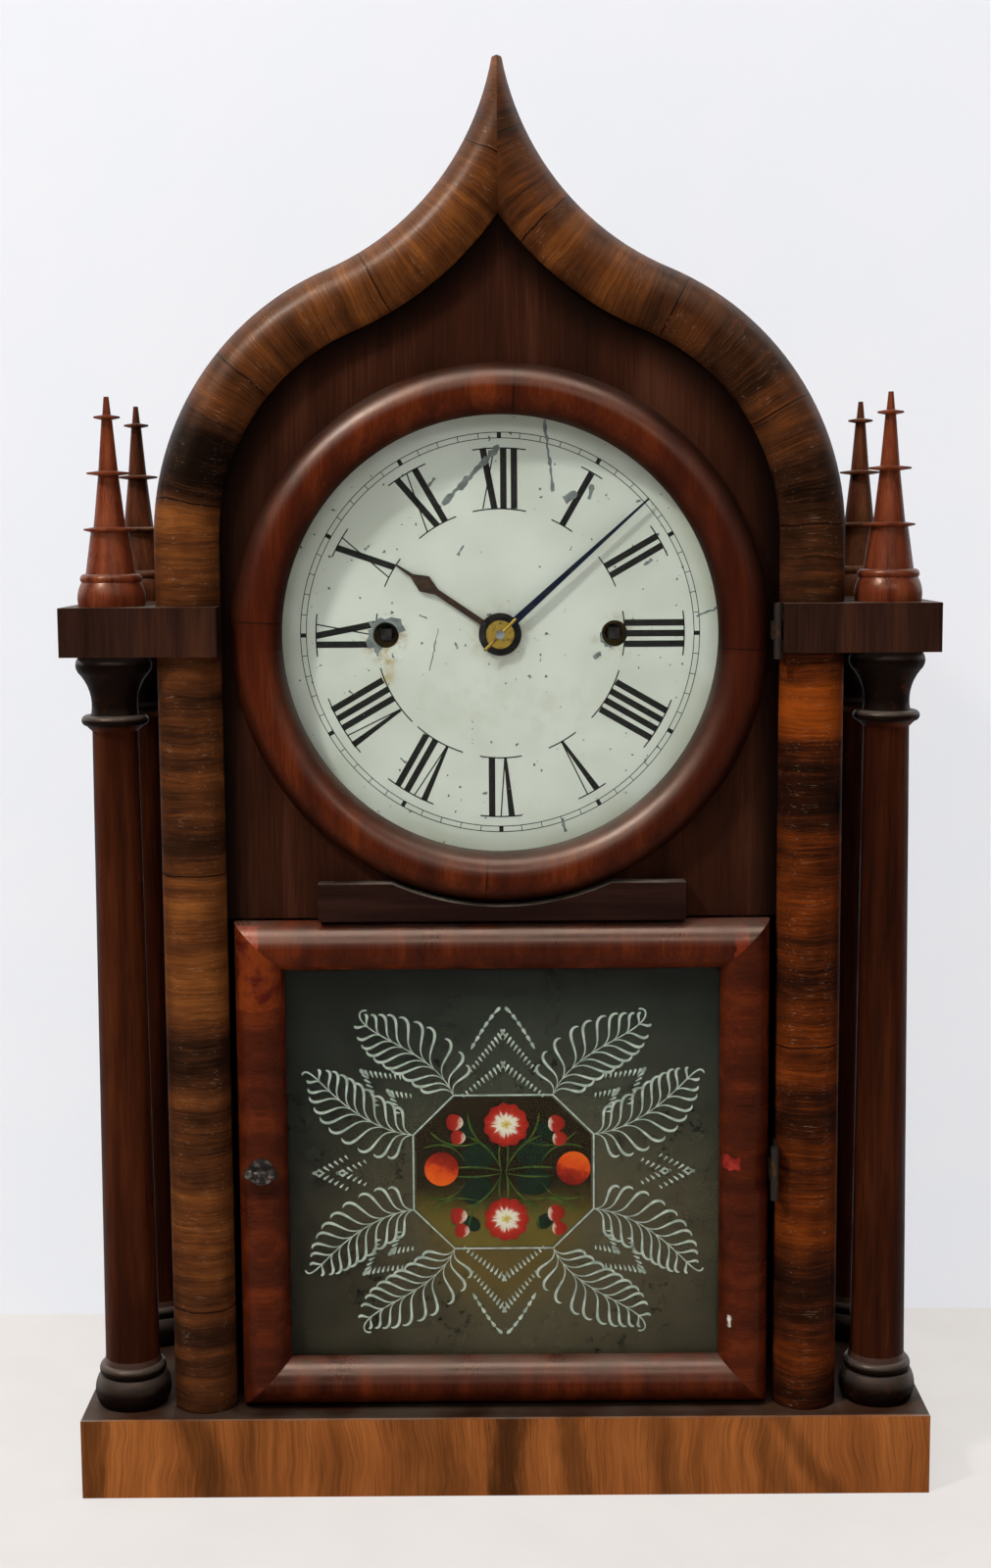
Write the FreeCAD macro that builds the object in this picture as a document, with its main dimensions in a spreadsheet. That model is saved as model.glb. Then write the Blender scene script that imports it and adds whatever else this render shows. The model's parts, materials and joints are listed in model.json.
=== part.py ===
import FreeCAD, Part
import math
import os
import re

import Sketcher
from FreeCAD import Placement, Rotation, Vector

# Gothic shelf clock: ogee arch over a round bezel door and a tablet door, four columns and finials.
# Frame: origin at the bottom centre of the plinth, +Z up, the front faces -Y, +X to the viewer's right.

# Driving dimensions: alias, value in millimetres (degrees or a count where the words say so), meaning
SIZES = (
    ("plinth_width", 307.0, "plinth, side to side"),
    ("plinth_depth", 102.0, "plinth, front to back"),
    ("plinth_height", 29.0, "floor to deck top"),
    ("deck_thickness", 9.0, "deck board"),
    ("rail_thickness", 14.0, "rails under the deck"),
    ("veneer_thickness", 1.6, "sawn veneer on the plinth front"),
    ("case_lap", 9.0, "pilasters and arch beyond the case sides"),
    ("side_thickness", 10.0, "case side and hood boards"),
    ("case_front", 34.0, "case front plane, ahead of the origin"),
    ("case_back", 38.0, "back edge of the sides, behind the origin"),
    ("back_thickness", 8.0, "backboard"),
    ("dial_height", 311.0, "centre of the dial above the floor"),
    ("block_drop", 6.3, "underside of the cap blocks below the middle of the dial"),
    ("block_height", 17.2, "cap block thickness"),
    ("block_inset", 0.1, "cap blocks inside the ends of the plinth"),
    ("block_front", 47.5, "cap block front, ahead of the origin"),
    ("pilaster_inset", 32.5, "pilasters and arch foot inside the ends of the plinth"),
    ("moulding_width", 22.6, "half-round moulding, across"),
    ("moulding_rise", 11.0, "half-round moulding, depth"),
    ("moulding_edge", 2.5, "straight edge of a moulding behind its round"),
    ("spring_rise", 34.0, "start of the arch curve above the middle of the dial"),
    ("shoulder_radius", 100.0, "outer radius of the arch shoulder"),
    ("neck_radius", 95.7, "outer radius of the hollow arch neck"),
    ("tip_drop", 17.88, "arch point below the centre of the neck curve"),
    ("mitre_overrun", 5.0, "degrees left on the neck curve where the mitre is sawn"),
    ("panel_thickness", 6.0, "front panel"),
    ("bezel_drop", 6.3, "lower edge of the front panel below the bezel"),
    ("panel_clearance", 0.15, "front panel to case and hood"),
    ("dial_hole_margin", 3.2, "round opening in the front panel beyond the inside of the bezel"),
    ("bezel_side_gap", 3.7, "bezel ring to the pilasters"),
    ("bezel_width", 17.9, "bezel ring, across"),
    ("bezel_depth", 10.0, "bezel ring, front to back"),
    ("bezel_edge", 2.6, "straight edge of the bezel behind its round"),
    ("bezel_gap", 0.3, "bezel to front panel"),
    ("bezel_seam_angle", 3.5, "degrees that the bezel joints are turned"),
    ("glass_lap", 3.0, "width of the glass rebates"),
    ("glass_clearance", 0.15, "glass edge to its rebate"),
    ("bezel_glass_thickness", 1.6, "dial glass"),
    ("cradle_width", 130.6, "strip under the bezel, length"),
    ("cradle_height", 13.4, "strip under the bezel, height"),
    ("cradle_thickness", 8.0, "strip under the bezel, depth"),
    ("cradle_clearance", 1.2, "strip to bezel ring"),
    ("door_side_gap", 2.6, "tablet door to the pilasters"),
    ("door_top_gap", 0.8, "tablet door below the front panel"),
    ("door_clearance", 0.8, "tablet door above the deck"),
    ("member_width", 17.6, "rails and stiles of the tablet door"),
    ("door_thickness", 10.0, "tablet door, front to back"),
    ("door_edge", 2.6, "straight edge of a door member behind its round"),
    ("tablet_glass_thickness", 2.0, "tablet glass"),
    ("hinge_height", 19.5, "length of a hinge"),
    ("knuckle_radius", 1.45, "hinge knuckle"),
    ("knuckle_gap", 0.15, "between hinge knuckles"),
    ("leaf_thickness", 0.8, "hinge leaf"),
    ("leaf_margin", 0.4, "back edge of a hinge leaf to the case front plane"),
    ("hinge_pin_radius", 0.75, "hinge pin"),
    ("pin_clearance", 0.05, "hinge pins, spindles, hour hand and bob on what they turn or slide on"),
    ("hinge_front", 45.6, "hinge axis, ahead of the origin"),
    ("bezel_hinge_rise", 1.4, "middle of the bezel hinge above the middle of the dial"),
    ("door_hinge_drop", 1.5, "middle of the door hinge below the middle of the door"),
    ("latch_spindle_radius", 1.6, "latch spindle"),
    ("latch_plate_radius", 4.8, "latch escutcheon, half width"),
    ("latch_plate_thickness", 1.0, "latch escutcheon"),
    ("latch_ball_radius", 2.2, "ball ends of the latch turn"),
    ("latch_bar_radius", 1.3, "thumb bar between the balls of the latch turn"),
    ("latch_span", 8.0, "between the balls of the latch turn"),
    ("tongue_length", 13.8, "latch tongue"),
    ("tongue_width", 4.0, "latch tongue, across"),
    ("tongue_thickness", 1.2, "latch tongue"),
    ("tongue_gap", 0.25, "latch tongue to the back of the door"),
    ("column_inset", 16.2, "column axes inside the ends of the plinth"),
    ("column_setback", 31.0, "column axes ahead of and behind the origin"),
    ("base_torus_radius", 13.9, "column base, large round"),
    ("base_torus_height", 11.0, "column base, large round"),
    ("base_ring_radius", 12.2, "column base, upper ring"),
    ("base_ring_height", 4.5, "column base, upper ring"),
    ("shaft_bottom_radius", 9.9, "column shaft at its foot"),
    ("shaft_top_radius", 8.1, "column shaft at its neck"),
    ("capital_height", 25.0, "column capital with its ring"),
    ("capital_ring_radius", 11.8, "ring under the capital"),
    ("capital_ring_height", 3.8, "ring under the capital"),
    ("capital_neck_radius", 8.4, "narrowest part of the capital"),
    ("capital_flare_radius", 17.0, "hollow curve between neck and lip of the capital"),
    ("capital_lip_radius", 13.4, "round lip of the capital"),
    ("capital_lip_height", 7.0, "round lip of the capital"),
    ("round_bulge", 1.6, "how far the turned rounds stand out"),
    ("shoulder_slope", 2.0, "height of the slopes at both ends of a shaft"),
    ("tenon_radius", 4.0, "dowels of columns and finials"),
    ("tenon_length", 7.0, "dowels of columns and finials"),
    ("tenon_clearance", 0.1, "dowel in its hole"),
    ("finial_height", 73.1, "finial above its block"),
    ("bell_radius", 11.6, "finial foot, widest"),
    ("bell_height", 8.5, "finial foot, up to its bead"),
    ("bead_height", 3.0, "bead above the finial foot"),
    ("disc_thickness", 1.8, "discs of a finial at the cone"),
    ("disc_rim", 0.6, "discs of a finial at the rim"),
    ("lower_disc_height", 27.0, "finial disc above the block"),
    ("lower_disc_radius", 9.1, "lower finial disc"),
    ("middle_disc_height", 46.6, "finial disc above the block"),
    ("middle_disc_radius", 7.5, "middle finial disc"),
    ("upper_disc_height", 66.0, "finial disc above the block"),
    ("upper_disc_radius", 4.6, "upper finial disc"),
    ("lower_cone_foot", 8.8, "finial cone radius"),
    ("lower_cone_neck", 6.7, "finial cone radius"),
    ("middle_cone_foot", 5.6, "finial cone radius"),
    ("middle_cone_neck", 3.6, "finial cone radius"),
    ("upper_cone_foot", 3.4, "finial cone radius"),
    ("upper_cone_neck", 1.9, "finial cone radius"),
    ("tip_cone_foot", 1.5, "finial tip radius"),
    ("tip_cone_neck", 0.9, "finial tip radius"),
    ("dial_lap", 4.0, "dial plate beyond the opening in the front panel"),
    ("dial_thickness", 0.8, "dial plate"),
    ("dial_centre_hole", 6.0, "radius of the hole for the hands"),
    ("winding_hole", 4.7, "radius of a winding hole"),
    ("winding_spread", 40.7, "winding arbors from the middle"),
    ("hour_hand_length", 44.0, "centre to tip"),
    ("hour_hand_width", 2.2, "hour hand blade"),
    ("hour_hub_radius", 7.6, "boss of the hour hand"),
    ("spade_width", 6.4, "swelling of the hour hand"),
    ("spade_from", 27.0, "start of the swelling from the centre"),
    ("spade_to", 37.5, "end of the swelling from the centre"),
    ("minute_hand_margin", 5.8, "tip of the minute hand inside the bezel"),
    ("minute_hand_width", 2.8, "minute hand at its root"),
    ("minute_hub_radius", 4.4, "boss of the minute hand"),
    ("hand_tip_width", 0.7, "tips of the hands"),
    ("hand_thickness", 0.6, "both hands"),
    ("hand_gap", 0.7, "between the hands"),
    ("hour_hand_lift", 1.0, "hour hand in front of the dial"),
    ("hour_angle", 304.0, "degrees, hour hand at rest"),
    ("minute_angle", 48.0, "degrees, minute hand at rest"),
    ("washer_radius", 5.0, "brass washer on the hands"),
    ("washer_height", 1.0, "brass washer on the hands"),
    ("taper_pin_radius", 0.55, "pin through the arbor end"),
    ("taper_pin_length", 16.0, "pin through the arbor end"),
    ("taper_pin_angle", 45.0, "degrees, slant of the pin"),
    ("plate_front", 18.0, "front face of the movement, ahead of the origin"),
    ("plate_gap", 30.0, "between the movement plates"),
    ("plate_thickness", 1.5, "movement plates"),
    ("plate_width", 124.0, "movement plates"),
    ("plate_top", 74.0, "movement plates above the centre arbor"),
    ("plate_bottom", 68.0, "movement plates below the centre arbor"),
    ("pillar_inset", 6.0, "pillars from the plate edges"),
    ("pillar_radius", 2.5, "pillars between the plates"),
    ("post_radius", 3.0, "posts to the backboard"),
    ("post_inset", 12.0, "posts from the plate edges"),
    ("pivot_radius", 0.6, "pivots of the arbors"),
    ("pivot_clearance", 0.05, "pivots and bearings in their holes"),
    ("end_shake", 0.25, "arbor shoulders to the plates"),
    ("arbor_radius", 1.6, "train arbors"),
    ("slim_arbor_radius", 1.0, "arbors of the escape wheel and the fly"),
    ("wheel_thickness", 1.2, "train wheels"),
    ("wheel_rim", 2.6, "train wheel rims inside the teeth"),
    ("wheel_hub", 4.6, "train wheel hubs"),
    ("spoke_width", 2.4, "train wheel spokes"),
    ("shroud_thickness", 0.8, "end plates of lantern pinions"),
    ("shroud_margin", 0.5, "end plates beyond the pinion wires"),
    ("great_thickness", 1.8, "great wheels"),
    ("great_level", 13.5, "great wheels in front of the back plate"),
    ("great_bearing", 3.0, "winding arbor radius in its bearings"),
    ("great_teeth", 84, "time great wheel"),
    ("strike_teeth", 72, "strike great wheel"),
    ("great_leaves", 7, "pinions driven by the great wheels"),
    ("centre_teeth", 72, "centre wheel and pin wheel"),
    ("centre_module", 0.7, "tooth module"),
    ("centre_level", 18.6, "centre wheel in front of the back plate"),
    ("third_leaves", 8, "pinions driven by centre wheel and pin wheel"),
    ("third_teeth", 64, "third wheel"),
    ("third_module", 0.65, "tooth module"),
    ("third_level", 23.0, "third wheel in front of the back plate"),
    ("third_offset", 10.0, "third arbor, sideways from the middle"),
    ("escape_leaves", 6, "escape pinion and fly pinion"),
    ("escape_teeth", 36, "escape wheel"),
    ("escape_radius", 13.0, "escape wheel"),
    ("escape_tooth", 2.6, "escape wheel tooth length"),
    ("escape_level", 4.0, "escape wheel in front of the back plate"),
    ("verge_rise", 18.0, "verge arbor above the escape arbor"),
    ("verge_clearance", 1.0, "verge strip to the escape wheel tips"),
    ("verge_thickness", 2.0, "verge strip"),
    ("verge_spread", 52.0, "degrees, each arm of the verge"),
    ("crutch_length", 38.0, "crutch below the verge arbor"),
    ("crutch_width", 5.0, "crutch blade"),
    ("crutch_gap", 1.0, "crutch behind the back plate"),
    ("rod_setback", 4.0, "pendulum rod behind the back plate"),
    ("rod_radius", 1.0, "pendulum rod"),
    ("rod_clearance", 0.3, "rod in the crutch and the cock"),
    ("pendulum_length", 269.6, "suspension to the middle of the bob"),
    ("bob_radius", 24.0, "pendulum bob"),
    ("bob_thickness", 9.0, "pendulum bob"),
    ("bob_rim", 1.6, "thickness of the bob at its rim"),
    ("nut_height", 5.0, "rating nut under the bob"),
    ("nut_radius", 4.0, "rating nut under the bob"),
    ("cock_width", 9.0, "suspension cock"),
    ("cock_height", 9.0, "suspension cock"),
    ("pin_wheel_angle", -48.7, "degrees, strike arbor to pin wheel"),
    ("pin_level", 20.9, "pin wheel in front of the back plate"),
    ("lifting_pins", 8, "pins on the pin wheel"),
    ("lifting_pin_radius", 0.8, "pins on the pin wheel"),
    ("lifting_pin_inset", 4.4, "lifting pins inside the tooth circle"),
    ("lifting_pin_length", 2.2, "pins on the pin wheel"),
    ("warning_angle", 222.0, "degrees, pin wheel to warning wheel"),
    ("warning_teeth", 60, "warning wheel"),
    ("warning_module", 0.6, "tooth module"),
    ("warning_level", 25.2, "warning wheel in front of the back plate"),
    ("fly_angle", 170.0, "degrees, warning wheel to fly"),
    ("fly_radius", 8.0, "fly blades, from the arbor"),
    ("fly_level", 3.0, "fly blades in front of the back plate"),
    ("fly_width", 9.0, "fly blades, along the arbor"),
    ("fly_thickness", 0.5, "fly blades"),
    ("ratchet_radius", 11.0, "ratchet wheels"),
    ("ratchet_teeth", 20, "ratchet wheels"),
    ("ratchet_tooth", 1.6, "ratchet tooth depth"),
    ("ratchet_thickness", 1.6, "ratchet wheels"),
    ("click_clearance", 0.4, "click to the ratchet"),
    ("click_length", 9.0, "click"),
    ("click_width", 3.2, "click"),
    ("square_side", 4.0, "winding squares"),
    ("square_setback", 2.5, "winding squares behind the dial"),
    ("sleeve_radius", 2.05, "sleeve of the centre wheel on its arbor"),
    ("spring_width", 11.0, "mainspring strip"),
    ("spring_level", 1.2, "mainsprings in front of the back plate"),
    ("spring_thickness", 0.5, "mainspring strip"),
    ("spring_inner_radius", 5.2, "first half turn of a mainspring"),
    ("spring_pitch", 2.4, "mainspring, turn to turn"),
    ("spring_half_turns", 15, "mainspring"),
    ("spring_stud_side", 2.6, "posts for the outer ends of the mainsprings"),
    ("cannon_teeth", 24, "cannon pinion"),
    ("minute_wheel_teeth", 72, "minute wheel"),
    ("cannon_module", 0.5, "tooth module"),
    ("minute_pinion_teeth", 12, "minute pinion"),
    ("hour_wheel_teeth", 48, "hour wheel"),
    ("cannon_lift", 1.5, "cannon pinion in front of the front plate"),
    ("hour_wheel_lift", 3.8, "hour wheel in front of the front plate"),
    ("hour_pipe_radius", 4.0, "hour pipe"),
    ("cannon_radius", 2.6, "cannon inside the hour pipe"),
    ("minute_wheel_angle", 225.0, "degrees, centre to minute wheel"),
    ("hand_arbor_radius", 1.6, "arbor end in front of the minute hand"),
    ("hammer_x", 10.0, "hammer arbor, sideways from the middle"),
    ("hammer_drop", 52.0, "hammer arbor below the centre arbor"),
    ("hammer_setback", 12.0, "hammer arm behind the back plate"),
    ("hammer_arm_radius", 1.0, "hammer wire"),
    ("hammer_head_radius", 3.4, "hammer head"),
    ("hammer_head_length", 8.0, "hammer head, front to back"),
    ("hammer_tail", 9.0, "hammer tail towards the lifting pins"),
    ("hammer_gap", 0.8, "hammer head to the gong wire"),
    ("gong_height", 96.0, "middle of the gong above the floor"),
    ("gong_wire_radius", 1.3, "gong wire"),
    ("gong_inner_radius", 8.0, "first half turn of the gong"),
    ("gong_pitch", 5.2, "gong, turn to turn"),
    ("gong_half_turns", 8, "gong"),
    ("gong_setback", 16.0, "gong wire behind the back plate"),
    ("gong_foot_width", 14.0, "gong base, side to side"),
    ("gong_foot_height", 14.0, "gong base, height"),
    ("gong_foot_lug", 2.6, "gong base beyond the middle of the wire, towards the coil"),
)

# Sizes that follow from the driving ones
DERIVED = {
    "block_bottom": "dial_height - block_drop",
    "block_reach": "plinth_width / 2 - block_inset",
    "column_spread": "plinth_width / 2 - column_inset",
    "front_half_width": "plinth_width / 2 - pilaster_inset",
    "moulding_inner": "front_half_width - moulding_width",
    "spring_height": "dial_height + spring_rise",
    "shoulder_x": "front_half_width - shoulder_radius",
    "arc_reach": "shoulder_radius + neck_radius",
    "neck_centre_z": "spring_height + sqrt(arc_reach^2 - (neck_radius - shoulder_x)^2)",
    "tip_height": "neck_centre_z - tip_drop",
    "bezel_outer_radius": "moulding_inner - bezel_side_gap",
    "bezel_inner_radius": "bezel_outer_radius - bezel_width",
    "bezel_hinge_height": "dial_height + bezel_hinge_rise",
    "dial_hole_radius": "bezel_inner_radius + dial_hole_margin",
    "dial_radius": "dial_hole_radius + dial_lap",
    "minute_hand_length": "bezel_inner_radius - minute_hand_margin",
    "panel_bottom": "dial_height - bezel_outer_radius - bezel_drop",
    "door_width": "2 * (moulding_inner - door_side_gap)",
    "door_top": "panel_bottom - door_top_gap",
    "door_bottom": "plinth_height + door_clearance",
    "door_middle": "(door_bottom + door_top) / 2",
    "door_hinge_height": "door_middle - door_hinge_drop",
}

# Shape of a wheel tooth, in modules and in shares of the tooth pitch
ESCAPE_ROOT_SHARE = 0.60
ESCAPE_TIP_SHARE = 0.06
TOOTH_HEIGHT = 0.85
TOOTH_DEPTH = 1.4
TOOTH_SHARE = 0.34
TIP_SHARE = 0.12
ROOT_SHARE = 0.48
TRUNDLE_SHARE = 0.16
LEAF_HEIGHT = 0.75
SPOKES = 4
MIRROR = {"cw": "ccw", "ccw": "cw"}
SIDES = (("left", -1), ("right", 1))
ROWS = (("front", -1), ("rear", 1))

doc = FreeCAD.newDocument("shelf_clock")
sheet = doc.addObject("Spreadsheet::Sheet", "sizes")
for row, (alias, value, meaning) in enumerate(SIZES, 1):
    sheet.set(f"A{row}", meaning)
    sheet.set(f"B{row}", str(value))
    sheet.setAlias(f"B{row}", alias)
doc.recompute()
ALIASES = {alias for alias, value, meaning in SIZES}
nodes = []


def reference(word):
    """What a word of a formula stands for: a size's cell, a derived size written out, or the word itself."""
    if word[0] in DERIVED:
        return f"({formula(DERIVED[word[0]])})"
    return f"sizes.{word[0]}" if word[0] in ALIASES else word[0]


def formula(text):
    """The text with the names of sizes turned into references to their cells."""
    return re.sub(r"[a-z_]+", reference, str(text))


def number(text):
    """What a text of sizes comes to now."""
    return float(sheet.evalExpression(formula(text)))


def bind(item, **properties):
    """Ties properties of an object to sizes."""
    for name, text in properties.items():
        item.setExpression(name, formula(text))


def place(item, at, axis=(0, 0, 1), turn="0"):
    """Turns an object about an axis through its origin and ties its position to sizes."""
    item.Placement = Placement(Vector(), Rotation(Vector(*axis), number(turn)))
    for letter, text in zip("xyz", at):
        item.setExpression(f"Placement.Base.{letter}", formula(text))
    if turn != "0":
        item.setExpression("Placement.Rotation.Angle", formula(f"({turn}) * 1 deg"))
    return item


def node(label, item):
    """Names an object as a finished sub-part."""
    item.Label = label
    nodes.append(item)
    return item


def box(name, size, at):
    """A board with its lowest corner at a point."""
    item = doc.addObject("Part::Box", name)
    bind(item, Length=size[0], Width=size[1], Height=size[2])
    return place(item, at)


def cylinder(name, radius, height, at, axis=(0, 0, 1), turn="0"):
    """A round bar that starts at a point."""
    item = doc.addObject("Part::Cylinder", name)
    bind(item, Radius=radius, Height=height)
    return place(item, at, axis, turn)


def bar_back(name, radius, height, at):
    """A round bar that runs from a point towards the back of the clock."""
    return cylinder(name, radius, height, at, (1, 0, 0), "-90")


def cut(name, base, tools):
    """A board less the tools that bore it."""
    bits = doc.addObject("Part::Compound", name + "_bits")
    bits.Links = tools
    item = doc.addObject("Part::Cut", name)
    item.Base = base
    item.Tool = bits
    return item


def fuse(name, pieces):
    """One solid of several shapes."""
    item = doc.addObject("Part::MultiFuse", name)
    item.Shapes = pieces
    return item


def group(name, pieces):
    """Separate solids under one name."""
    item = doc.addObject("Part::Compound", name)
    item.Links = pieces
    return item


def mirrored(outline):
    """An outline reflected left to right."""
    return [(f"-({corner[0]})",) + tuple(MIRROR.get(part, part) for part in corner[1:]) for corner in outline]


def sided(outline, sign):
    """The right-hand outline as it is, or reflected for the left."""
    return outline if sign > 0 else mirrored(outline)


def arc_edge(start, end, radius, way):
    """An arc of less than half a circle from start to end, and whether it runs that way round."""
    chord = end - start
    rise = math.sqrt(max(radius**2 - (chord.Length / 2) ** 2, 0.0))
    left = Vector(-chord.y, chord.x, 0).normalize()
    forward = way == "ccw"
    centre = (start + end) / 2 + left * (rise if forward else -rise)
    first, last = (start, end) if forward else (end, start)
    angles = [math.atan2(point.y - centre.y, point.x - centre.x) for point in (first, last)]
    if angles[1] < angles[0]:
        angles[1] += 2 * math.pi
    return Part.ArcOfCircle(Part.Circle(centre, Vector(0, 0, 1), radius), *angles), forward


def fix_point(sketch, edge, end, x, y):
    """Ties one end of an edge to sizes."""
    for kind, text in (("DistanceX", x), ("DistanceY", y)):
        index = sketch.addConstraint(Sketcher.Constraint(kind, -1, 1, edge, end, number(text)))
        sketch.setExpression(f"Constraints[{index}]", formula(text))


def fix_radius(sketch, edge, radius):
    """Ties the radius of an arc or circle to sizes."""
    index = sketch.addConstraint(Sketcher.Constraint("Radius", edge, number(radius)))
    sketch.setExpression(f"Constraints[{index}]", formula(radius))


def draw(sketch, outline, closed=True):
    """Draws corners joined by lines, or by arcs where a corner gives a radius and a way round to reach it."""
    points = [Vector(number(corner[0]), number(corner[1]), 0) for corner in outline]
    ends = []
    for index in range(0 if closed else 1, len(outline)):
        corner = outline[index]
        if len(corner) == 2:
            edge = sketch.addGeometry(Part.LineSegment(points[index - 1], points[index]), False)
            ends.append((edge, 1, 2))
        else:
            curve, forward = arc_edge(points[index - 1], points[index], number(corner[2]), corner[3])
            edge = sketch.addGeometry(curve, False)
            ends.append((edge, 1, 2) if forward else (edge, 2, 1))
            fix_radius(sketch, edge, corner[2])
        fix_point(sketch, edge, ends[-1][2], corner[0], corner[1])
    if not closed:
        fix_point(sketch, ends[0][0], ends[0][1], outline[0][0], outline[0][1])
    for index in range(0 if closed else 1, len(ends)):
        before, after = ends[index - 1], ends[index]
        sketch.addConstraint(Sketcher.Constraint("Coincident", before[0], before[2], after[0], after[1]))


def draw_circle(sketch, x, y, radius):
    """Draws a circle tied to sizes."""
    centre = Vector(number(x), number(y), 0)
    edge = sketch.addGeometry(Part.Circle(centre, Vector(0, 0, 1), number(radius)), False)
    fix_point(sketch, edge, 3, x, y)
    fix_radius(sketch, edge, radius)


def new_sketch(body, name, role):
    """An empty sketch on one of the body's own planes."""
    sketch = body.newObject("Sketcher::SketchObject", name)
    plane = next(item for item in body.Origin.OriginFeatures if item.Role == role)
    sketch.AttachmentSupport = (plane, [""])
    sketch.MapMode = "FlatFace"
    return sketch


def padded(name, role, outline, length, circles=()):
    """A body of one outline, with round holes, raised by a length."""
    body = doc.addObject("PartDesign::Body", name)
    sketch = new_sketch(body, name + "_outline", role)
    draw(sketch, outline)
    for circle in circles:
        draw_circle(sketch, *circle)
    pad = body.newObject("PartDesign::Pad", name + "_pad")
    pad.Profile = sketch
    bind(pad, Length=length)
    return body


def pocketed(body, name, outlines, circles=()):
    """Cuts outlines drawn on the front plane right through a body, and proves that they cut."""
    doc.recompute()
    before = body.Shape.Volume
    sketch = new_sketch(body, name + "_outline", "XZ_Plane")
    for outline in outlines:
        draw(sketch, outline)
    for circle in circles:
        draw_circle(sketch, *circle)
    pocket = body.newObject("PartDesign::Pocket", name)
    pocket.Profile = sketch
    pocket.SideType = "Symmetric"
    pocket.Type = "ThroughAll"
    doc.recompute()
    if body.Shape.Volume >= before:
        raise RuntimeError(f"{name} cuts nothing")
    return body


def turned(name, outline, at, axis=(0, 0, 1), turn="0"):
    """A body turned on the lathe about its own upright axis, then put in its place."""
    body = doc.addObject("PartDesign::Body", name)
    sketch = new_sketch(body, name + "_outline", "XZ_Plane")
    draw(sketch, outline)
    turning = body.newObject("PartDesign::Revolution", name + "_turning")
    turning.Profile = sketch
    turning.ReferenceAxis = (sketch, ["V_Axis"])
    turning.Angle = 360
    return place(body, at, axis, turn)


def bow(chord, rise):
    """Radius of an arc from its chord and its rise."""
    return f"((({chord}) / 2)^2 + ({rise})^2) / (2 * ({rise}))"


# Case

BLOCK_TOP = "(block_bottom + block_height)"
CASE_HALF = "(front_half_width - case_lap)"
CASE_INNER = f"({CASE_HALF} - side_thickness)"
TENON_BORE = "(tenon_radius + tenon_clearance)"


def arch_curve(inset, base):
    """Right half of the ogee, inset from the outer edge, from a base height to the middle line."""
    shoulder = f"(shoulder_radius - ({inset}))"
    neck = f"(neck_radius + ({inset}))"
    joint_x = f"shoulder_x + {shoulder} * (neck_radius - shoulder_x) / arc_reach"
    joint_z = f"spring_height + {shoulder} * (neck_centre_z - spring_height) / arc_reach"
    point = f"neck_centre_z - sqrt({neck}^2 - neck_radius^2)"
    return [
        (f"front_half_width - ({inset})", base),
        (f"front_half_width - ({inset})", "spring_height"),
        (joint_x, joint_z, shoulder, "ccw"),
        ("0", point, neck, "cw"),
    ]


def reversed_curve(curve):
    """The same open curve drawn from its other end."""
    result = []
    for index in range(len(curve) - 1, -1, -1):
        corner = curve[index][:2]
        leaving = curve[index + 1][2:] if index + 1 < len(curve) else ()
        arc = (leaving[0], MIRROR[leaving[1]]) if leaving else ()
        result.append(corner + arc)
    return result


def arch_outline(inset, base):
    """Closed outline of a board that fills the ogee down to a base height."""
    curve = arch_curve(inset, base)
    left = reversed_curve(curve)
    return curve + mirrored(left)[1:]


def moulding_section():
    """Half-round of the right-hand moulding, its back on the case front and its round to the front."""
    front = "-case_front - moulding_edge"
    return [
        ("moulding_inner", "-case_front"),
        ("front_half_width", "-case_front"),
        ("front_half_width", front),
        ("moulding_inner", front, bow("moulding_width", "moulding_rise - moulding_edge"), "cw"),
    ]


def build_plinth():
    """Deck board bored for the columns, rails under it, and the veneer face."""
    under = "plinth_height - deck_thickness"
    behind = "-plinth_depth / 2 + veneer_thickness"
    half = "plinth_width / 2"
    board = box("deck_board", ("plinth_width", "plinth_depth - veneer_thickness", "deck_thickness"),
                (f"-{half}", behind, under))
    holes = []
    for side, sign in SIDES:
        for row, way in ROWS:
            at = (f"{sign} * column_spread", f"{way} * column_setback", "plinth_height - tenon_length")
            holes.append(cylinder(f"deck_hole_{row}_{side}", TENON_BORE, "tenon_length", at))
    node("plinth_deck", cut("deck", board, holes))
    node("plinth_front_veneer", box("front_veneer", ("plinth_width", "veneer_thickness", "plinth_height"),
                                    (f"-{half}", "-plinth_depth / 2", "0")))
    rails = [box("front_rail", ("plinth_width", "rail_thickness", under), (f"-{half}", behind, "0"))]
    length = "plinth_depth - veneer_thickness - rail_thickness"
    for side, x in (("left", f"-{half}"), ("right", f"{half} - rail_thickness")):
        at = (x, f"{behind} + rail_thickness", "0")
        rails.append(box(f"side_rail_{side}", ("rail_thickness", length, under), at))
    node("plinth_rails", group("rails", rails))


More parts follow.
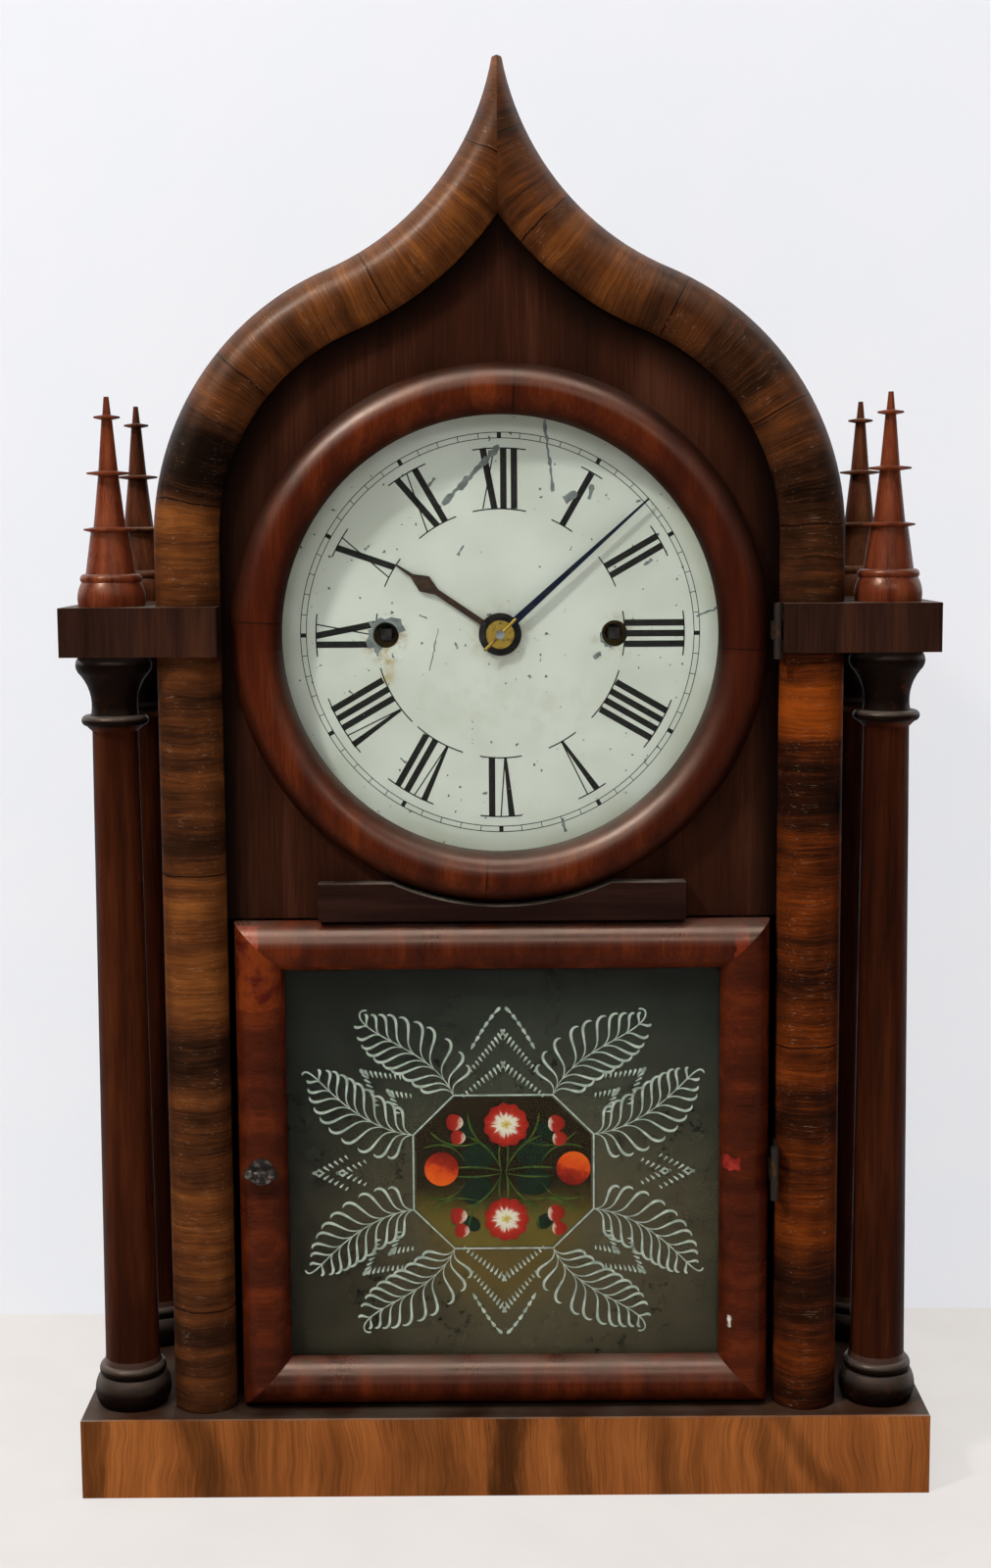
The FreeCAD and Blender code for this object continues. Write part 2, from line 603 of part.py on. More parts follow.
def build_case():
    """Case sides, curved hood boards, backboard and front panel."""
    depth = "case_front + case_back"
    inset = f"(front_half_width - {CASE_HALF})"
    inner = f"(front_half_width - {CASE_INNER})"
    boards = []
    for side, x in (("left", f"-{CASE_HALF}"), ("right", CASE_INNER)):
        size = ("side_thickness", depth, f"{BLOCK_TOP} - plinth_height")
        boards.append(box(f"side_board_{side}", size, (x, "-case_front", "plinth_height")))
    node("case_sides", group("side_boards", boards))
    shell = arch_curve(inset, BLOCK_TOP) + reversed_curve(arch_curve(inner, BLOCK_TOP))
    for side, sign in SIDES:
        hood = padded(f"hood_board_{side}", "XZ_Plane", sided(shell, sign), depth)
        node(f"hood_{side}", place(hood, ("0", "case_back", "0")))
    back = padded("back_board", "XZ_Plane", arch_outline(inset, "plinth_height"), "back_thickness")
    node("backboard", place(back, ("0", "case_back + back_thickness", "0")))
    outline = arch_outline(f"{inner} + panel_clearance", "panel_bottom")
    hole = ("0", "dial_height", "dial_hole_radius")
    panel = padded("panel_board", "XZ_Plane", outline, "panel_thickness", [hole])
    node("front_panel", place(panel, ("0", "panel_thickness - case_front", "0")))


def build_mouldings():
    """Pilasters, arch mouldings and cap blocks, left and right."""
    section = moulding_section()
    height = "block_bottom - plinth_height"
    for side, sign in SIDES:
        pilaster = padded(f"half_round_{side}", "XY_Plane", sided(section, sign), height)
        node(f"pilaster_{side}", place(pilaster, ("0", "0", "plinth_height")))
        node(f"arch_moulding_{side}", arch_moulding(side, sign, section))
        node(f"cap_block_{side}", cap_block(side, sign))


def arch_moulding(side, sign, section):
    """Half-round run round the ogee, sawn off at the middle line and at the point."""
    spring = f"spring_height - {BLOCK_TOP}"
    path = arch_curve("moulding_width / 2", "0")
    neck = "(neck_radius + moulding_width / 2)"
    end_x = f"neck_radius - {neck} * cos(mitre_overrun)"
    end_z = f"neck_centre_z - {neck} * sin(mitre_overrun) - {BLOCK_TOP}"
    path[1] = (path[1][0], spring)
    path[2] = (path[2][0], f"{path[2][1]} - {BLOCK_TOP}") + path[2][2:]
    path[3] = (end_x, end_z) + path[3][2:]
    body = doc.addObject("PartDesign::Body", f"arch_run_{side}")
    profile = new_sketch(body, f"arch_section_{side}", "XY_Plane")
    draw(profile, sided(section, sign))
    spine = new_sketch(body, f"arch_path_{side}", "XZ_Plane")
    draw(spine, sided(path, sign), closed=False)
    pipe = body.newObject("PartDesign::AdditivePipe", f"arch_pipe_{side}")
    pipe.Profile = profile
    pipe.Spine = spine
    beyond = "2 * moulding_width"
    tip = f"tip_height - {BLOCK_TOP}"
    waste = [
        (f"-({beyond})", "moulding_width"),
        ("0", "moulding_width"),
        ("0", tip),
        (beyond, tip),
        (beyond, f"{tip} + {beyond}"),
        (f"-({beyond})", f"{tip} + {beyond}"),
    ]
    pocketed(body, f"arch_mitre_{side}", [sided(waste, sign)])
    return place(body, ("0", "0", BLOCK_TOP))


def cap_block(side, sign):
    """L-shaped block that lies on the columns and pilaster, bored for the dowels."""
    outline = [
        ("moulding_inner", "-block_front"),
        ("block_reach", "-block_front"),
        ("block_reach", "block_front"),
        (CASE_HALF, "block_front"),
        (CASE_HALF, "-case_front"),
        ("moulding_inner", "-case_front"),
    ]
    holes = [(f"{sign} * column_spread", f"{way} * column_setback", TENON_BORE) for row, way in ROWS]
    block = padded(f"block_{side}", "XY_Plane", sided(outline, sign), "block_height", holes)
    return place(block, ("0", "0", "block_bottom"))


def build_columns():
    """Four turned columns and four finials on their dowels."""
    height = "(block_bottom - plinth_height)"
    ring_top = "(base_torus_height + base_ring_height)"
    capital = f"({height} - capital_height)"
    neck = f"({capital} + capital_ring_height)"
    lip = f"({height} - capital_lip_height)"
    torus_edge = "base_torus_radius - round_bulge"
    ring_edge = "base_ring_radius - round_bulge"
    collar_edge = "capital_ring_radius - round_bulge"
    lip_edge = "capital_lip_radius - round_bulge"
    column = [
        ("0", "-tenon_length"),
        ("tenon_radius", "-tenon_length"),
        ("tenon_radius", "0"),
        (torus_edge, "0"),
        (torus_edge, "base_torus_height", bow("base_torus_height", "round_bulge"), "ccw"),
        (ring_edge, "base_torus_height"),
        (ring_edge, ring_top, bow("base_ring_height", "round_bulge"), "ccw"),
        ("shaft_bottom_radius", f"{ring_top} + shoulder_slope"),
        ("shaft_top_radius", f"{capital} - shoulder_slope"),
        (collar_edge, capital),
        (collar_edge, neck, bow("capital_ring_height", "round_bulge"), "ccw"),
        ("capital_neck_radius", neck),
        (lip_edge, lip, "capital_flare_radius", "cw"),
        (lip_edge, height, bow("capital_lip_height", "round_bulge"), "ccw"),
        ("tenon_radius", height),
        ("tenon_radius", f"{height} + tenon_length"),
        ("0", f"{height} + tenon_length"),
    ]
    bead = "(bell_height + bead_height)"
    finial = [
        ("0", "-tenon_length"),
        ("tenon_radius", "-tenon_length"),
        ("tenon_radius", "0"),
        ("bell_radius", "0"),
        ("lower_cone_foot + round_bulge", "bell_height", bow("bell_height", "round_bulge / 2"), "ccw"),
        ("lower_cone_foot", bead, bow("bead_height", "round_bulge / 2"), "ccw"),
    ]
    for name, foot in (("lower", "middle"), ("middle", "upper"), ("upper", "tip")):
        level = f"{name}_disc_height"
        finial += [
            (f"{name}_cone_neck", f"{level} - disc_thickness / 2"),
            (f"{name}_disc_radius", f"{level} - disc_rim / 2"),
            (f"{name}_disc_radius", f"{level} + disc_rim / 2"),
            (f"{foot}_cone_foot", f"{level} + disc_thickness / 2"),
        ]
    finial += [("tip_cone_neck", "finial_height"), ("0", "finial_height")]
    for row, way in ROWS:
        shafts, spires = [], []
        for side, sign in SIDES:
            x, y = f"{sign} * column_spread", f"{way} * column_setback"
            shafts.append(turned(f"column_{row}_{side}", column, (x, y, "plinth_height")))
            spires.append(turned(f"finial_{row}_{side}", finial, (x, y, BLOCK_TOP)))
        node(f"columns_{row}", group(f"column_pair_{row}", shafts))
        node(f"finials_{row}", group(f"finial_pair_{row}", spires))


# Doors

BEZEL_BACK = "(-case_front - bezel_gap)"
DOOR_BACK = "(-case_front)"


def build_bezel():
    """Round door: four glued segments, the dial glass and the strip that cradles the ring."""
    front = f"{BEZEL_BACK} - bezel_edge"
    rebate = "bezel_inner_radius + glass_lap"
    width = "bezel_outer_radius - bezel_inner_radius"
    lap = f"{BEZEL_BACK} - bezel_glass_thickness"
    section = [
        (rebate, BEZEL_BACK),
        ("bezel_outer_radius", BEZEL_BACK),
        ("bezel_outer_radius", front),
        ("bezel_inner_radius", front, bow(width, "bezel_depth - bezel_edge"), "cw"),
        ("bezel_inner_radius", lap),
        (rebate, lap),
    ]
    segments = []
    for quarter in range(4):
        body = doc.addObject("PartDesign::Body", f"bezel_segment_{quarter}")
        sketch = new_sketch(body, f"bezel_section_{quarter}", "XY_Plane")
        draw(sketch, section)
        turning = body.newObject("PartDesign::Revolution", f"bezel_turning_{quarter}")
        turning.Profile = sketch
        turning.ReferenceAxis = (sketch, ["V_Axis"])
        turning.Angle = 90
        turn = f"{90 * quarter} - bezel_seam_angle"
        segments.append(place(body, ("0", "0", "dial_height"), (0, 1, 0), turn))
    node("bezel_ring", group("bezel_segments", segments))
    at = ("0", lap, "dial_height")
    node("bezel_glass", bar_back("bezel_pane", f"{rebate} - glass_clearance", "bezel_glass_thickness", at))
    build_cradle()


def build_cradle():
    """Strip on the front panel that the bezel ring dips into."""
    reach = "(bezel_outer_radius + cradle_clearance)"
    top = "(panel_bottom + cradle_height)"
    dip = f"sqrt({reach}^2 - (dial_height - {top})^2)"
    half = "cradle_width / 2"
    strip = [
        (f"-{half}", "panel_bottom"),
        (half, "panel_bottom"),
        (half, top),
        (dip, top),
        (f"-{dip}", top, reach, "cw"),
        (f"-{half}", top),
    ]
    cradle = padded("cradle_board", "XZ_Plane", strip, "cradle_thickness")
    node("cradle_strip", place(cradle, ("0", "-case_front", "0")))


def door_member(name, length, bores=()):
    """A mitred half-round with a glass rebate, its outer edge along the X axis and its width below that."""
    front = f"{DOOR_BACK} - door_edge"
    lap = f"{DOOR_BACK} - tablet_glass_thickness"
    inner = "-member_width"
    section = [
        (DOOR_BACK, "0"),
        (front, "0"),
        (front, inner, bow("member_width", "door_thickness - door_edge"), "ccw"),
        (lap, inner),
        (lap, f"{inner} + glass_lap"),
        (DOOR_BACK, f"{inner} + glass_lap"),
    ]
    body = doc.addObject("PartDesign::Body", name)
    sketch = new_sketch(body, name + "_section", "YZ_Plane")
    draw(sketch, section)
    pad = body.newObject("PartDesign::Pad", name + "_pad")
    pad.Profile = sketch
    pad.SideType = "Symmetric"
    bind(pad, Length=length)
    half = f"({length}) / 2"
    corner = [(half, "0"), (half, inner), (f"{half} - member_width", inner)]
    return pocketed(body, name + "_mitres", [corner, mirrored(corner)], bores)


def build_tablet_door():
    """Lower door: mitred frame, tablet glass, latch plate and latch turn."""
    height = "(door_top - door_bottom)"
    half = "door_width / 2"
    bore = ("0", "-member_width / 2", "latch_spindle_radius + pin_clearance")
    node("door_top_rail", place(door_member("top_rail", "door_width"), ("0", "0", "door_top")))
    lower = door_member("bottom_rail", "door_width")
    left = door_member("left_stile", height, [bore])
    right = door_member("right_stile", height)
    node("door_bottom_rail", place(lower, ("0", "0", "door_bottom"), (0, 1, 0), "180"))
    node("door_left_stile", place(left, (f"-{half}", "0", "door_middle"), (0, 1, 0), "-90"))
    node("door_right_stile", place(right, (half, "0", "door_middle"), (0, 1, 0), "90"))
    edge = "(member_width - glass_lap + glass_clearance)"
    size = (f"door_width - 2 * {edge}", "tablet_glass_thickness", f"{height} - 2 * {edge}")
    at = (f"{edge} - {half}", f"{DOOR_BACK} - tablet_glass_thickness", f"door_bottom + {edge}")
    node("tablet_glass", box("tablet_pane", size, at))
    build_latch()


def build_latch():
    """Escutcheon on the left stile, and the turn with its spindle, thumb bar and tongue."""
    x = "member_width / 2 - door_width / 2"
    face = f"({DOOR_BACK} - door_thickness)"
    plate_front = f"({face} - latch_plate_thickness)"
    bore = "latch_spindle_radius + pin_clearance"
    at = (x, plate_front, "door_middle")
    plate = bar_back("latch_disc", "latch_plate_radius", "latch_plate_thickness", at)
    hole = bar_back("latch_hole", bore, "latch_plate_thickness", at)
    node("latch_plate", cut("latch_washer", plate, [hole]))
    bar = f"({plate_front} - tongue_gap - latch_ball_radius)"
    back = f"({DOOR_BACK} + tongue_gap + tongue_thickness)"
    spindle = bar_back("latch_spindle", "latch_spindle_radius", f"{back} - {bar}", (x, bar, "door_middle"))
    end = "(latch_span / 2 + latch_ball_radius)"
    neck = "(latch_span / 2 - sqrt(latch_ball_radius^2 - latch_bar_radius^2))"
    thumb_bar = [
        ("0", f"-{end}"),
        ("latch_bar_radius", f"-{neck}", "latch_ball_radius", "ccw"),
        ("latch_bar_radius", neck),
        ("0", end, "latch_ball_radius", "ccw"),
    ]
    thumb = turned("latch_bar", thumb_bar, (x, bar, "door_middle"), (0, 1, 0), "90")
    tongue = box("latch_tongue", ("tongue_width", "tongue_thickness", "tongue_length"),
                 (f"{x} - tongue_width / 2", f"{back} - tongue_thickness", "door_middle - tongue_length"))
    node("latch_turn", fuse("latch_handle", [spindle, thumb, tongue]))


def build_hinges():
    """One butt hinge on each door, and the two case leaves that carry them."""
    bezel = butt_hinge("bezel_hinge", "bezel_outer_radius", "moulding_inner", "bezel_hinge_height")
    door = butt_hinge("door_hinge", "door_width / 2", "moulding_inner", "door_hinge_height")
    node("hinge_case_leaves", group("case_leaves", [bezel, door]))


def butt_hinge(name, edge, seat, middle):
    """Hinge between a door edge and a fixed seat: names the door leaf, returns the case leaf with its pin."""
    axis_x = f"(({edge}) + ({seat})) / 2"
    leaf_depth = "(hinge_front - case_front - leaf_margin)"
    knuckle = "(hinge_height / 3 - knuckle_gap)"
    bottom = f"(({middle}) - hinge_height / 2)"
    bore = "hinge_pin_radius + pin_clearance"
    door_at = (axis_x, "-hinge_front", f"{middle} - {knuckle} / 2")
    barrel = cylinder(f"{name}_barrel", "knuckle_radius", knuckle, door_at)
    leaf = box(f"{name}_leaf", ("leaf_thickness", leaf_depth, knuckle),
               (edge, "-hinge_front", f"{middle} - {knuckle} / 2"))
    hole = cylinder(f"{name}_bore", bore, knuckle, door_at)
    node(f"{name}_door_leaf", cut(f"{name}_swing", fuse(f"{name}_wing", [barrel, leaf]), [hole]))
    pieces = [cylinder(f"{name}_pin", "hinge_pin_radius", "hinge_height", (axis_x, "-hinge_front", bottom))]
    third = "hinge_height / 3"
    for end, level in (("low", bottom), ("high", f"{bottom} + 2 * {third}")):
        at = (axis_x, "-hinge_front", level)
        pieces.append(cylinder(f"{name}_knuckle_{end}", "knuckle_radius", third, at))
        at = (f"{seat} - leaf_thickness", "-hinge_front", level)
        pieces.append(box(f"{name}_flap_{end}", ("leaf_thickness", leaf_depth, third), at))
    spine = f"{leaf_depth} / 2"
    pieces.append(box(f"{name}_plate", ("leaf_thickness", spine, "hinge_height"),
                      (f"{seat} - leaf_thickness", f"{spine} - hinge_front", bottom)))
    return fuse(f"{name}_fixed", pieces)


# Movement: built lying on the bench, the back plate's inner face at zero and the front upwards

FRONT_FACE = "(plate_gap + plate_thickness)"
DIAL_LEVEL = f"({FRONT_FACE} + case_front - panel_thickness - plate_front)"
SQUARE_END = f"({DIAL_LEVEL} - dial_thickness - square_setback)"
HOUR_LEVEL = f"({DIAL_LEVEL} + hour_hand_lift)"
MINUTE_LEVEL = f"({HOUR_LEVEL} + hand_thickness + hand_gap)"
WASHER_LEVEL = f"({MINUTE_LEVEL} + hand_thickness)"
TAPER_PIN_LEVEL = f"({WASHER_LEVEL} + washer_height + taper_pin_radius)"
ARBOR_END = f"({TAPER_PIN_LEVEL} + 2 * taper_pin_radius)"
BACK_FACE_Y = "(plate_thickness + plate_gap - plate_front)"
GREAT_MODULE = "(2 * winding_spread / (great_teeth + great_leaves))"
THIRD_REACH = "(centre_module * (centre_teeth + third_leaves) / 2)"
ESCAPE_REACH = "(third_module * (third_teeth + escape_leaves) / 2)"
PIN_REACH = f"({GREAT_MODULE} * (strike_teeth + great_leaves) / 2)"
FLY_REACH = "(warning_module * (warning_teeth + escape_leaves) / 2)"
MINUTE_REACH = "(cannon_module * (cannon_teeth + minute_wheel_teeth) / 2)"
HOUR_MODULE = f"(2 * {MINUTE_REACH} / (minute_pinion_teeth + hour_wheel_teeth))"
THIRD_Z = f"sqrt({THIRD_REACH}^2 - third_offset^2)"
ESCAPE_Z = f"({THIRD_Z} + sqrt({ESCAPE_REACH}^2 - third_offset^2))"
PIN_X = f"(-winding_spread + {PIN_REACH} * cos(pin_wheel_angle))"
PIN_Z = f"({PIN_REACH} * sin(pin_wheel_angle))"
WARNING_X = f"({PIN_X} + {THIRD_REACH} * cos(warning_angle))"
WARNING_Z = f"({PIN_Z} + {THIRD_REACH} * sin(warning_angle))"
AXES = {
    "centre": ("0", "0"),
    "time": ("winding_spread", "0"),
    "strike": ("-winding_spread", "0"),
    "third": ("-third_offset", THIRD_Z),
    "escape": ("0", ESCAPE_Z),
    "verge": ("0", f"({ESCAPE_Z} + verge_rise)"),
    "pin": (PIN_X, PIN_Z),
    "warning": (WARNING_X, WARNING_Z),
    "fly": (f"{WARNING_X} + {FLY_REACH} * cos(fly_angle)", f"{WARNING_Z} + {FLY_REACH} * sin(fly_angle)"),
    "hammer": ("hammer_x", "-hammer_drop"),
    "minute": (f"{MINUTE_REACH} * cos(minute_wheel_angle)", f"{MINUTE_REACH} * sin(minute_wheel_angle)"),
}


def on_bench(item, axis="centre", level="0"):
    """Stands an object made on the bench in its place in the clock, on one of the arbors."""
    x, z = AXES[axis]
    return place(item, (x, f"{BACK_FACE_Y} - ({level})", f"dial_height + {z}"), (1, 0, 0), "90")


def bearing(start, end):
    """Direction in degrees from one arbor to another."""
    step = [number(to) - number(come) for to, come in zip(AXES[end], AXES[start])]
    return math.degrees(math.atan2(step[1], step[0]))


def toothed_face(teeth, module, height, phase):
    """Closed outline of a wheel whose first tooth points along the phase angle, in degrees."""
    pitch_radius = module * teeth / 2
    radii = (pitch_radius - TOOTH_DEPTH * module, pitch_radius, pitch_radius + height * module)
    half = (ROOT_SHARE / 2, TOOTH_SHARE / 2, TIP_SHARE / 2)
    flank = [(radii[0], -half[0]), (radii[1], -half[1]), (radii[2], -half[2])]
    flank += [(radius, -share) for radius, share in reversed(flank)]
    points = []
    for tooth in range(teeth):
        for radius, share in flank:
            angle = math.radians(phase) + (tooth + share) * 2 * math.pi / teeth
            points.append(Vector(radius * math.cos(angle), radius * math.sin(angle), 0))
    return Part.makePolygon(points + points[:1])


def disc(radius, thickness, level, x=0.0, y=0.0):
    """A round plate or bar on the bench."""
    return Part.makeCylinder(radius, thickness, Vector(x, y, level))


def solid_of(wire, thickness, level):
    """A plate cut to an outline, raised from a level on the bench."""
    shape = Part.Face(wire).extrude(Vector(0, 0, thickness))
    shape.translate(Vector(0, 0, level))
    return shape


def crossed_wheel(teeth, module, thickness, level, bore, phase):
    """A train wheel with its arms crossed out."""
    wheel = solid_of(toothed_face(teeth, module, TOOTH_HEIGHT, phase), thickness, level)
    rim = module * teeth / 2 - TOOTH_DEPTH * module - number("wheel_rim")
    hub, arm = number("wheel_hub"), number("spoke_width")
    window = disc(rim, thickness, level).cut(disc(hub, thickness, level))
    for spoke in range(SPOKES // 2):
        beam = Part.makeBox(2 * rim, arm, thickness, Vector(-rim, -arm / 2, level))
        beam.rotate(Vector(), Vector(0, 0, 1), 45 + 180 * spoke / (SPOKES // 2))
        window = window.cut(beam)
    return wheel.cut(window).cut(disc(bore, thickness, level))


def lantern(leaves, module, start, end, gap_angle):
    """Lantern pinion: two end plates joined by wires, a gap between wires towards an angle in degrees."""
    ring = module * leaves / 2
    wire = TRUNDLE_SHARE * math.pi * module
    plate = number("shroud_thickness")
    outer = ring + wire + number("shroud_margin")
    shape = disc(outer, plate, start).fuse(disc(outer, plate, end - plate))
    for leaf in range(leaves):
        angle = math.radians(gap_angle) + (leaf + 0.5) * 2 * math.pi / leaves
        shape = shape.fuse(disc(wire, end - start, start, ring * math.cos(angle), ring * math.sin(angle)))
    return shape


def pivoted_arbor(radius):
    """An arbor between the plates with a pivot in each."""
    gap, shake, plate = number("plate_gap"), number("end_shake"), number("plate_thickness")
    pivot = disc(number("pivot_radius"), gap + 2 * plate, -plate)
    return disc(radius, gap - 2 * shake, shake).fuse(pivot)


def feature(name, shape, axis="centre"):
    """A shape worked out on the bench, stood in the clock."""
    item = doc.addObject("Part::Feature", name)
    item.Shape = shape.removeSplitter()
    return on_bench(item, axis)


def mesh_span(level, thickness):
    """Where a lantern pinion starts and ends so that its wires reach past a wheel on both faces."""
    margin = 2 * number("shroud_thickness")
    return number(level) - margin, number(level) + number(thickness) + margin


def build_plates():
    """Movement plates with their pivot holes, pillars between them and posts to the backboard."""
    left, right = "-plate_width / 2", "plate_width / 2"
    outline = [(left, "-plate_bottom"), (right, "-plate_bottom"), (right, "plate_top"), (left, "plate_top")]
    pivot = "pivot_radius + pivot_clearance"
    wide = "great_bearing + pivot_clearance"
    through = "arbor_radius + pivot_clearance"
    pivoted = ("centre", "third", "escape", "verge", "pin", "warning", "fly", "hammer")
    common = dict.fromkeys(pivoted, pivot)
    common.update(time=wide, strike=wide)
    front = dict(common, centre=through)
    back = dict(common, verge=through, hammer=through)
    for name, holes, level in (("front", front, "plate_gap"), ("back", back, "-plate_thickness")):
        circles = [AXES[axis] + (radius,) for axis, radius in holes.items()]
        plate = padded(f"{name}_sheet", "XY_Plane", outline, "plate_thickness", circles)
        plate = on_bench(plate, "centre", level)
        if name == "front":
            stud = cylinder("minute_stud", "arbor_radius", "cannon_lift + hour_wheel_lift", ("0", "0", "0"))
            studs = [on_bench(stud, "minute", FRONT_FACE)]
        else:
            studs = [spring_stud("time", -1), spring_stud("strike", 1)]
        node(f"movement_{name}_plate", fuse(f"{name}_plate", [plate] + studs))
    pillars, posts = [], []
    x = "(plate_width / 2 - pillar_inset)"
    for side, sign in SIDES:
        for end, z in (("top", "plate_top - pillar_inset"), ("bottom", "pillar_inset - plate_bottom")):
            at = (f"{sign} * {x}", "plate_thickness - plate_front", f"dial_height + {z}")
            pillars.append(bar_back(f"pillar_{end}_{side}", "pillar_radius", "plate_gap", at))
            inward = "(post_inset - pillar_inset)"
            level = f"dial_height + {z} {'-' if end == 'top' else '+'} {inward}"
            at = (f"{sign} * ({x} - {inward})", f"{BACK_FACE_Y} + plate_thickness", level)
            reach = f"case_back - {BACK_FACE_Y} - plate_thickness"
            posts.append(bar_back(f"post_{end}_{side}", "post_radius", reach, at))
    node("movement_pillars", group("pillars", pillars + posts))


def spring_stud(name, sign):
    """Post on the back plate that the outer end of a mainspring butts against."""
    end = f"({sign} * (spring_inner_radius + spring_pitch / 2 * spring_half_turns))"
    x, z = AXES[name]
    height = "(spring_level + spring_width)"
    lower = "spring_stud_side" if sign > 0 else "0"
    at = (f"{x} + {end} - spring_stud_side / 2", f"{BACK_FACE_Y} - {height}", f"dial_height + {z} - {lower}")
    return box(f"{name}_spring_stud", ("spring_stud_side", height, "spring_stud_side"), at)


def build_power():
    """Great wheels, winding arbors and mainsprings of both trains."""
    time = winding("time", round(number("great_teeth")), "centre")
    strike = winding("strike", round(number("strike_teeth")), "pin")
    node("mainsprings", group("springs", [time, strike]))


def winding(name, teeth, partner):
    """Great wheel with its click and winding arbor with its ratchet; returns the mainspring."""
    module, level = number(GREAT_MODULE), number("great_level")
    thickness, bearing_radius = number("great_thickness"), number("great_bearing")
    clearance = number("pivot_clearance")
    bore = bearing_radius + clearance
    wheel = crossed_wheel(teeth, module, thickness, level, bore, bearing(name, partner))
    click = Part.makeBox(number("click_length"), number("click_width"), number("ratchet_thickness"))
    beside = number("ratchet_radius + click_clearance")
    click.translate(Vector(number("-click_length / 2"), beside, level + thickness))
    plate = disc(beside + number("click_width"), thickness, level).cut(disc(bore, thickness, level))
    node(f"{name}_great_wheel", feature(f"{name}_great", wheel.fuse(plate).fuse(click), name))
    start, end = number("-plate_thickness"), number(FRONT_FACE)
    arbor = disc(bearing_radius, end - start, start)
    side, reach = number("square_side"), number(SQUARE_END)
    square = Part.makeBox(side, side, reach - end, Vector(-side / 2, -side / 2, end))
    ratchet = ratchet_wheel(level + thickness + clearance)
    node(f"{name}_winding_arbor", feature(f"{name}_arbor", arbor.fuse(square).fuse(ratchet), name))
    spring = mainspring()
    spring.rotate(Vector(), Vector(0, 0, 1), 0 if name == "strike" else 180)
    return feature(f"{name}_spring", spring, name)


def ratchet_wheel(level):
    """Saw-toothed disc fixed to a winding arbor."""
    count, outer, depth = round(number("ratchet_teeth")), number("ratchet_radius"), number("ratchet_tooth")
    points = []
    for tooth in range(count):
        for radius in (outer, outer - depth):
            angle = tooth * 2 * math.pi / count
            points.append(Vector(radius * math.cos(angle), radius * math.sin(angle), 0))
    thickness = number("ratchet_thickness - pivot_clearance")
    return solid_of(Part.makePolygon(points + points[:1]), thickness, level)


def half_turn_arcs(inner, step, count):
    """Arcs of half a turn each, of growing radius, that follow on as one flat spiral."""
    arcs = []
    for index in range(count):
        centre = Vector(-step / 2 if index % 2 else step / 2, 0, 0)
        radius = inner + step * (index + 0.5)
        sign = 1 if index % 2 == 0 else -1
        ends = [centre + Vector(way * sign * radius, 0, 0) for way in (-1, 1)]
        arcs.append(Part.Arc(ends[0], centre + Vector(0, sign * radius, 0), ends[1]).toShape())
    return arcs


def mainspring():
    """Flat spiral strip of half-turn arcs, standing on edge."""
    half, step = number("spring_thickness / 2"), number("spring_pitch / 2")
    inner, count = number("spring_inner_radius"), round(number("spring_half_turns"))
    inside = half_turn_arcs(inner - half, step, count)
    outside = half_turn_arcs(inner + half, step, count)
    start = Part.makeLine(inside[0].firstVertex(True).Point, outside[0].firstVertex(True).Point)
    end = Part.makeLine(inside[-1].lastVertex(True).Point, outside[-1].lastVertex(True).Point)
    wire = Part.Wire(Part.__sortEdges__(inside + outside + [start, end]))
    return solid_of(wire, number("spring_width"), number("spring_level"))


def build_time_train():
    """Centre, third and escape wheels, each with its arbor and lantern pinion."""
    hub = number("arbor_radius")
    thickness = number("wheel_thickness")
    start, end = mesh_span("great_level", "great_thickness")
    leaves = round(number("great_leaves"))
    pinion = lantern(leaves, number(GREAT_MODULE), start, end, bearing("centre", "time"))
    teeth = round(number("centre_teeth"))
    wheel = crossed_wheel(teeth, number("centre_module"), thickness, number("centre_level"), hub,
                          bearing("centre", "third"))
    sleeve = disc(number("sleeve_radius"), number("centre_level") + thickness - start, start)
    bore = disc(hub + number("pivot_clearance"), number("plate_gap"), 0)
    node("centre_wheel", feature("centre_disc", pinion.fuse(wheel).fuse(sleeve).cut(bore)))
    node("centre_arbor", feature("centre_shaft", centre_arbor()))
    start, end = mesh_span("centre_level", "wheel_thickness")
    pinion = lantern(round(number("third_leaves")), number("centre_module"), start, end,
                     bearing("third", "centre"))
    teeth = round(number("third_teeth"))
    wheel = crossed_wheel(teeth, number("third_module"), thickness, number("third_level"), hub,
                          bearing("third", "escape"))
    node("third_wheel", feature("third_disc", pivoted_arbor(hub).fuse(pinion).fuse(wheel), "third"))
    start, end = mesh_span("third_level", "wheel_thickness")
    pinion = lantern(round(number("escape_leaves")), number("third_module"), start, end,
                     bearing("escape", "third"))
    slim = pivoted_arbor(number("slim_arbor_radius"))
    node("escape_wheel", feature("escape_disc", slim.fuse(pinion).fuse(escape_disc()), "escape"))


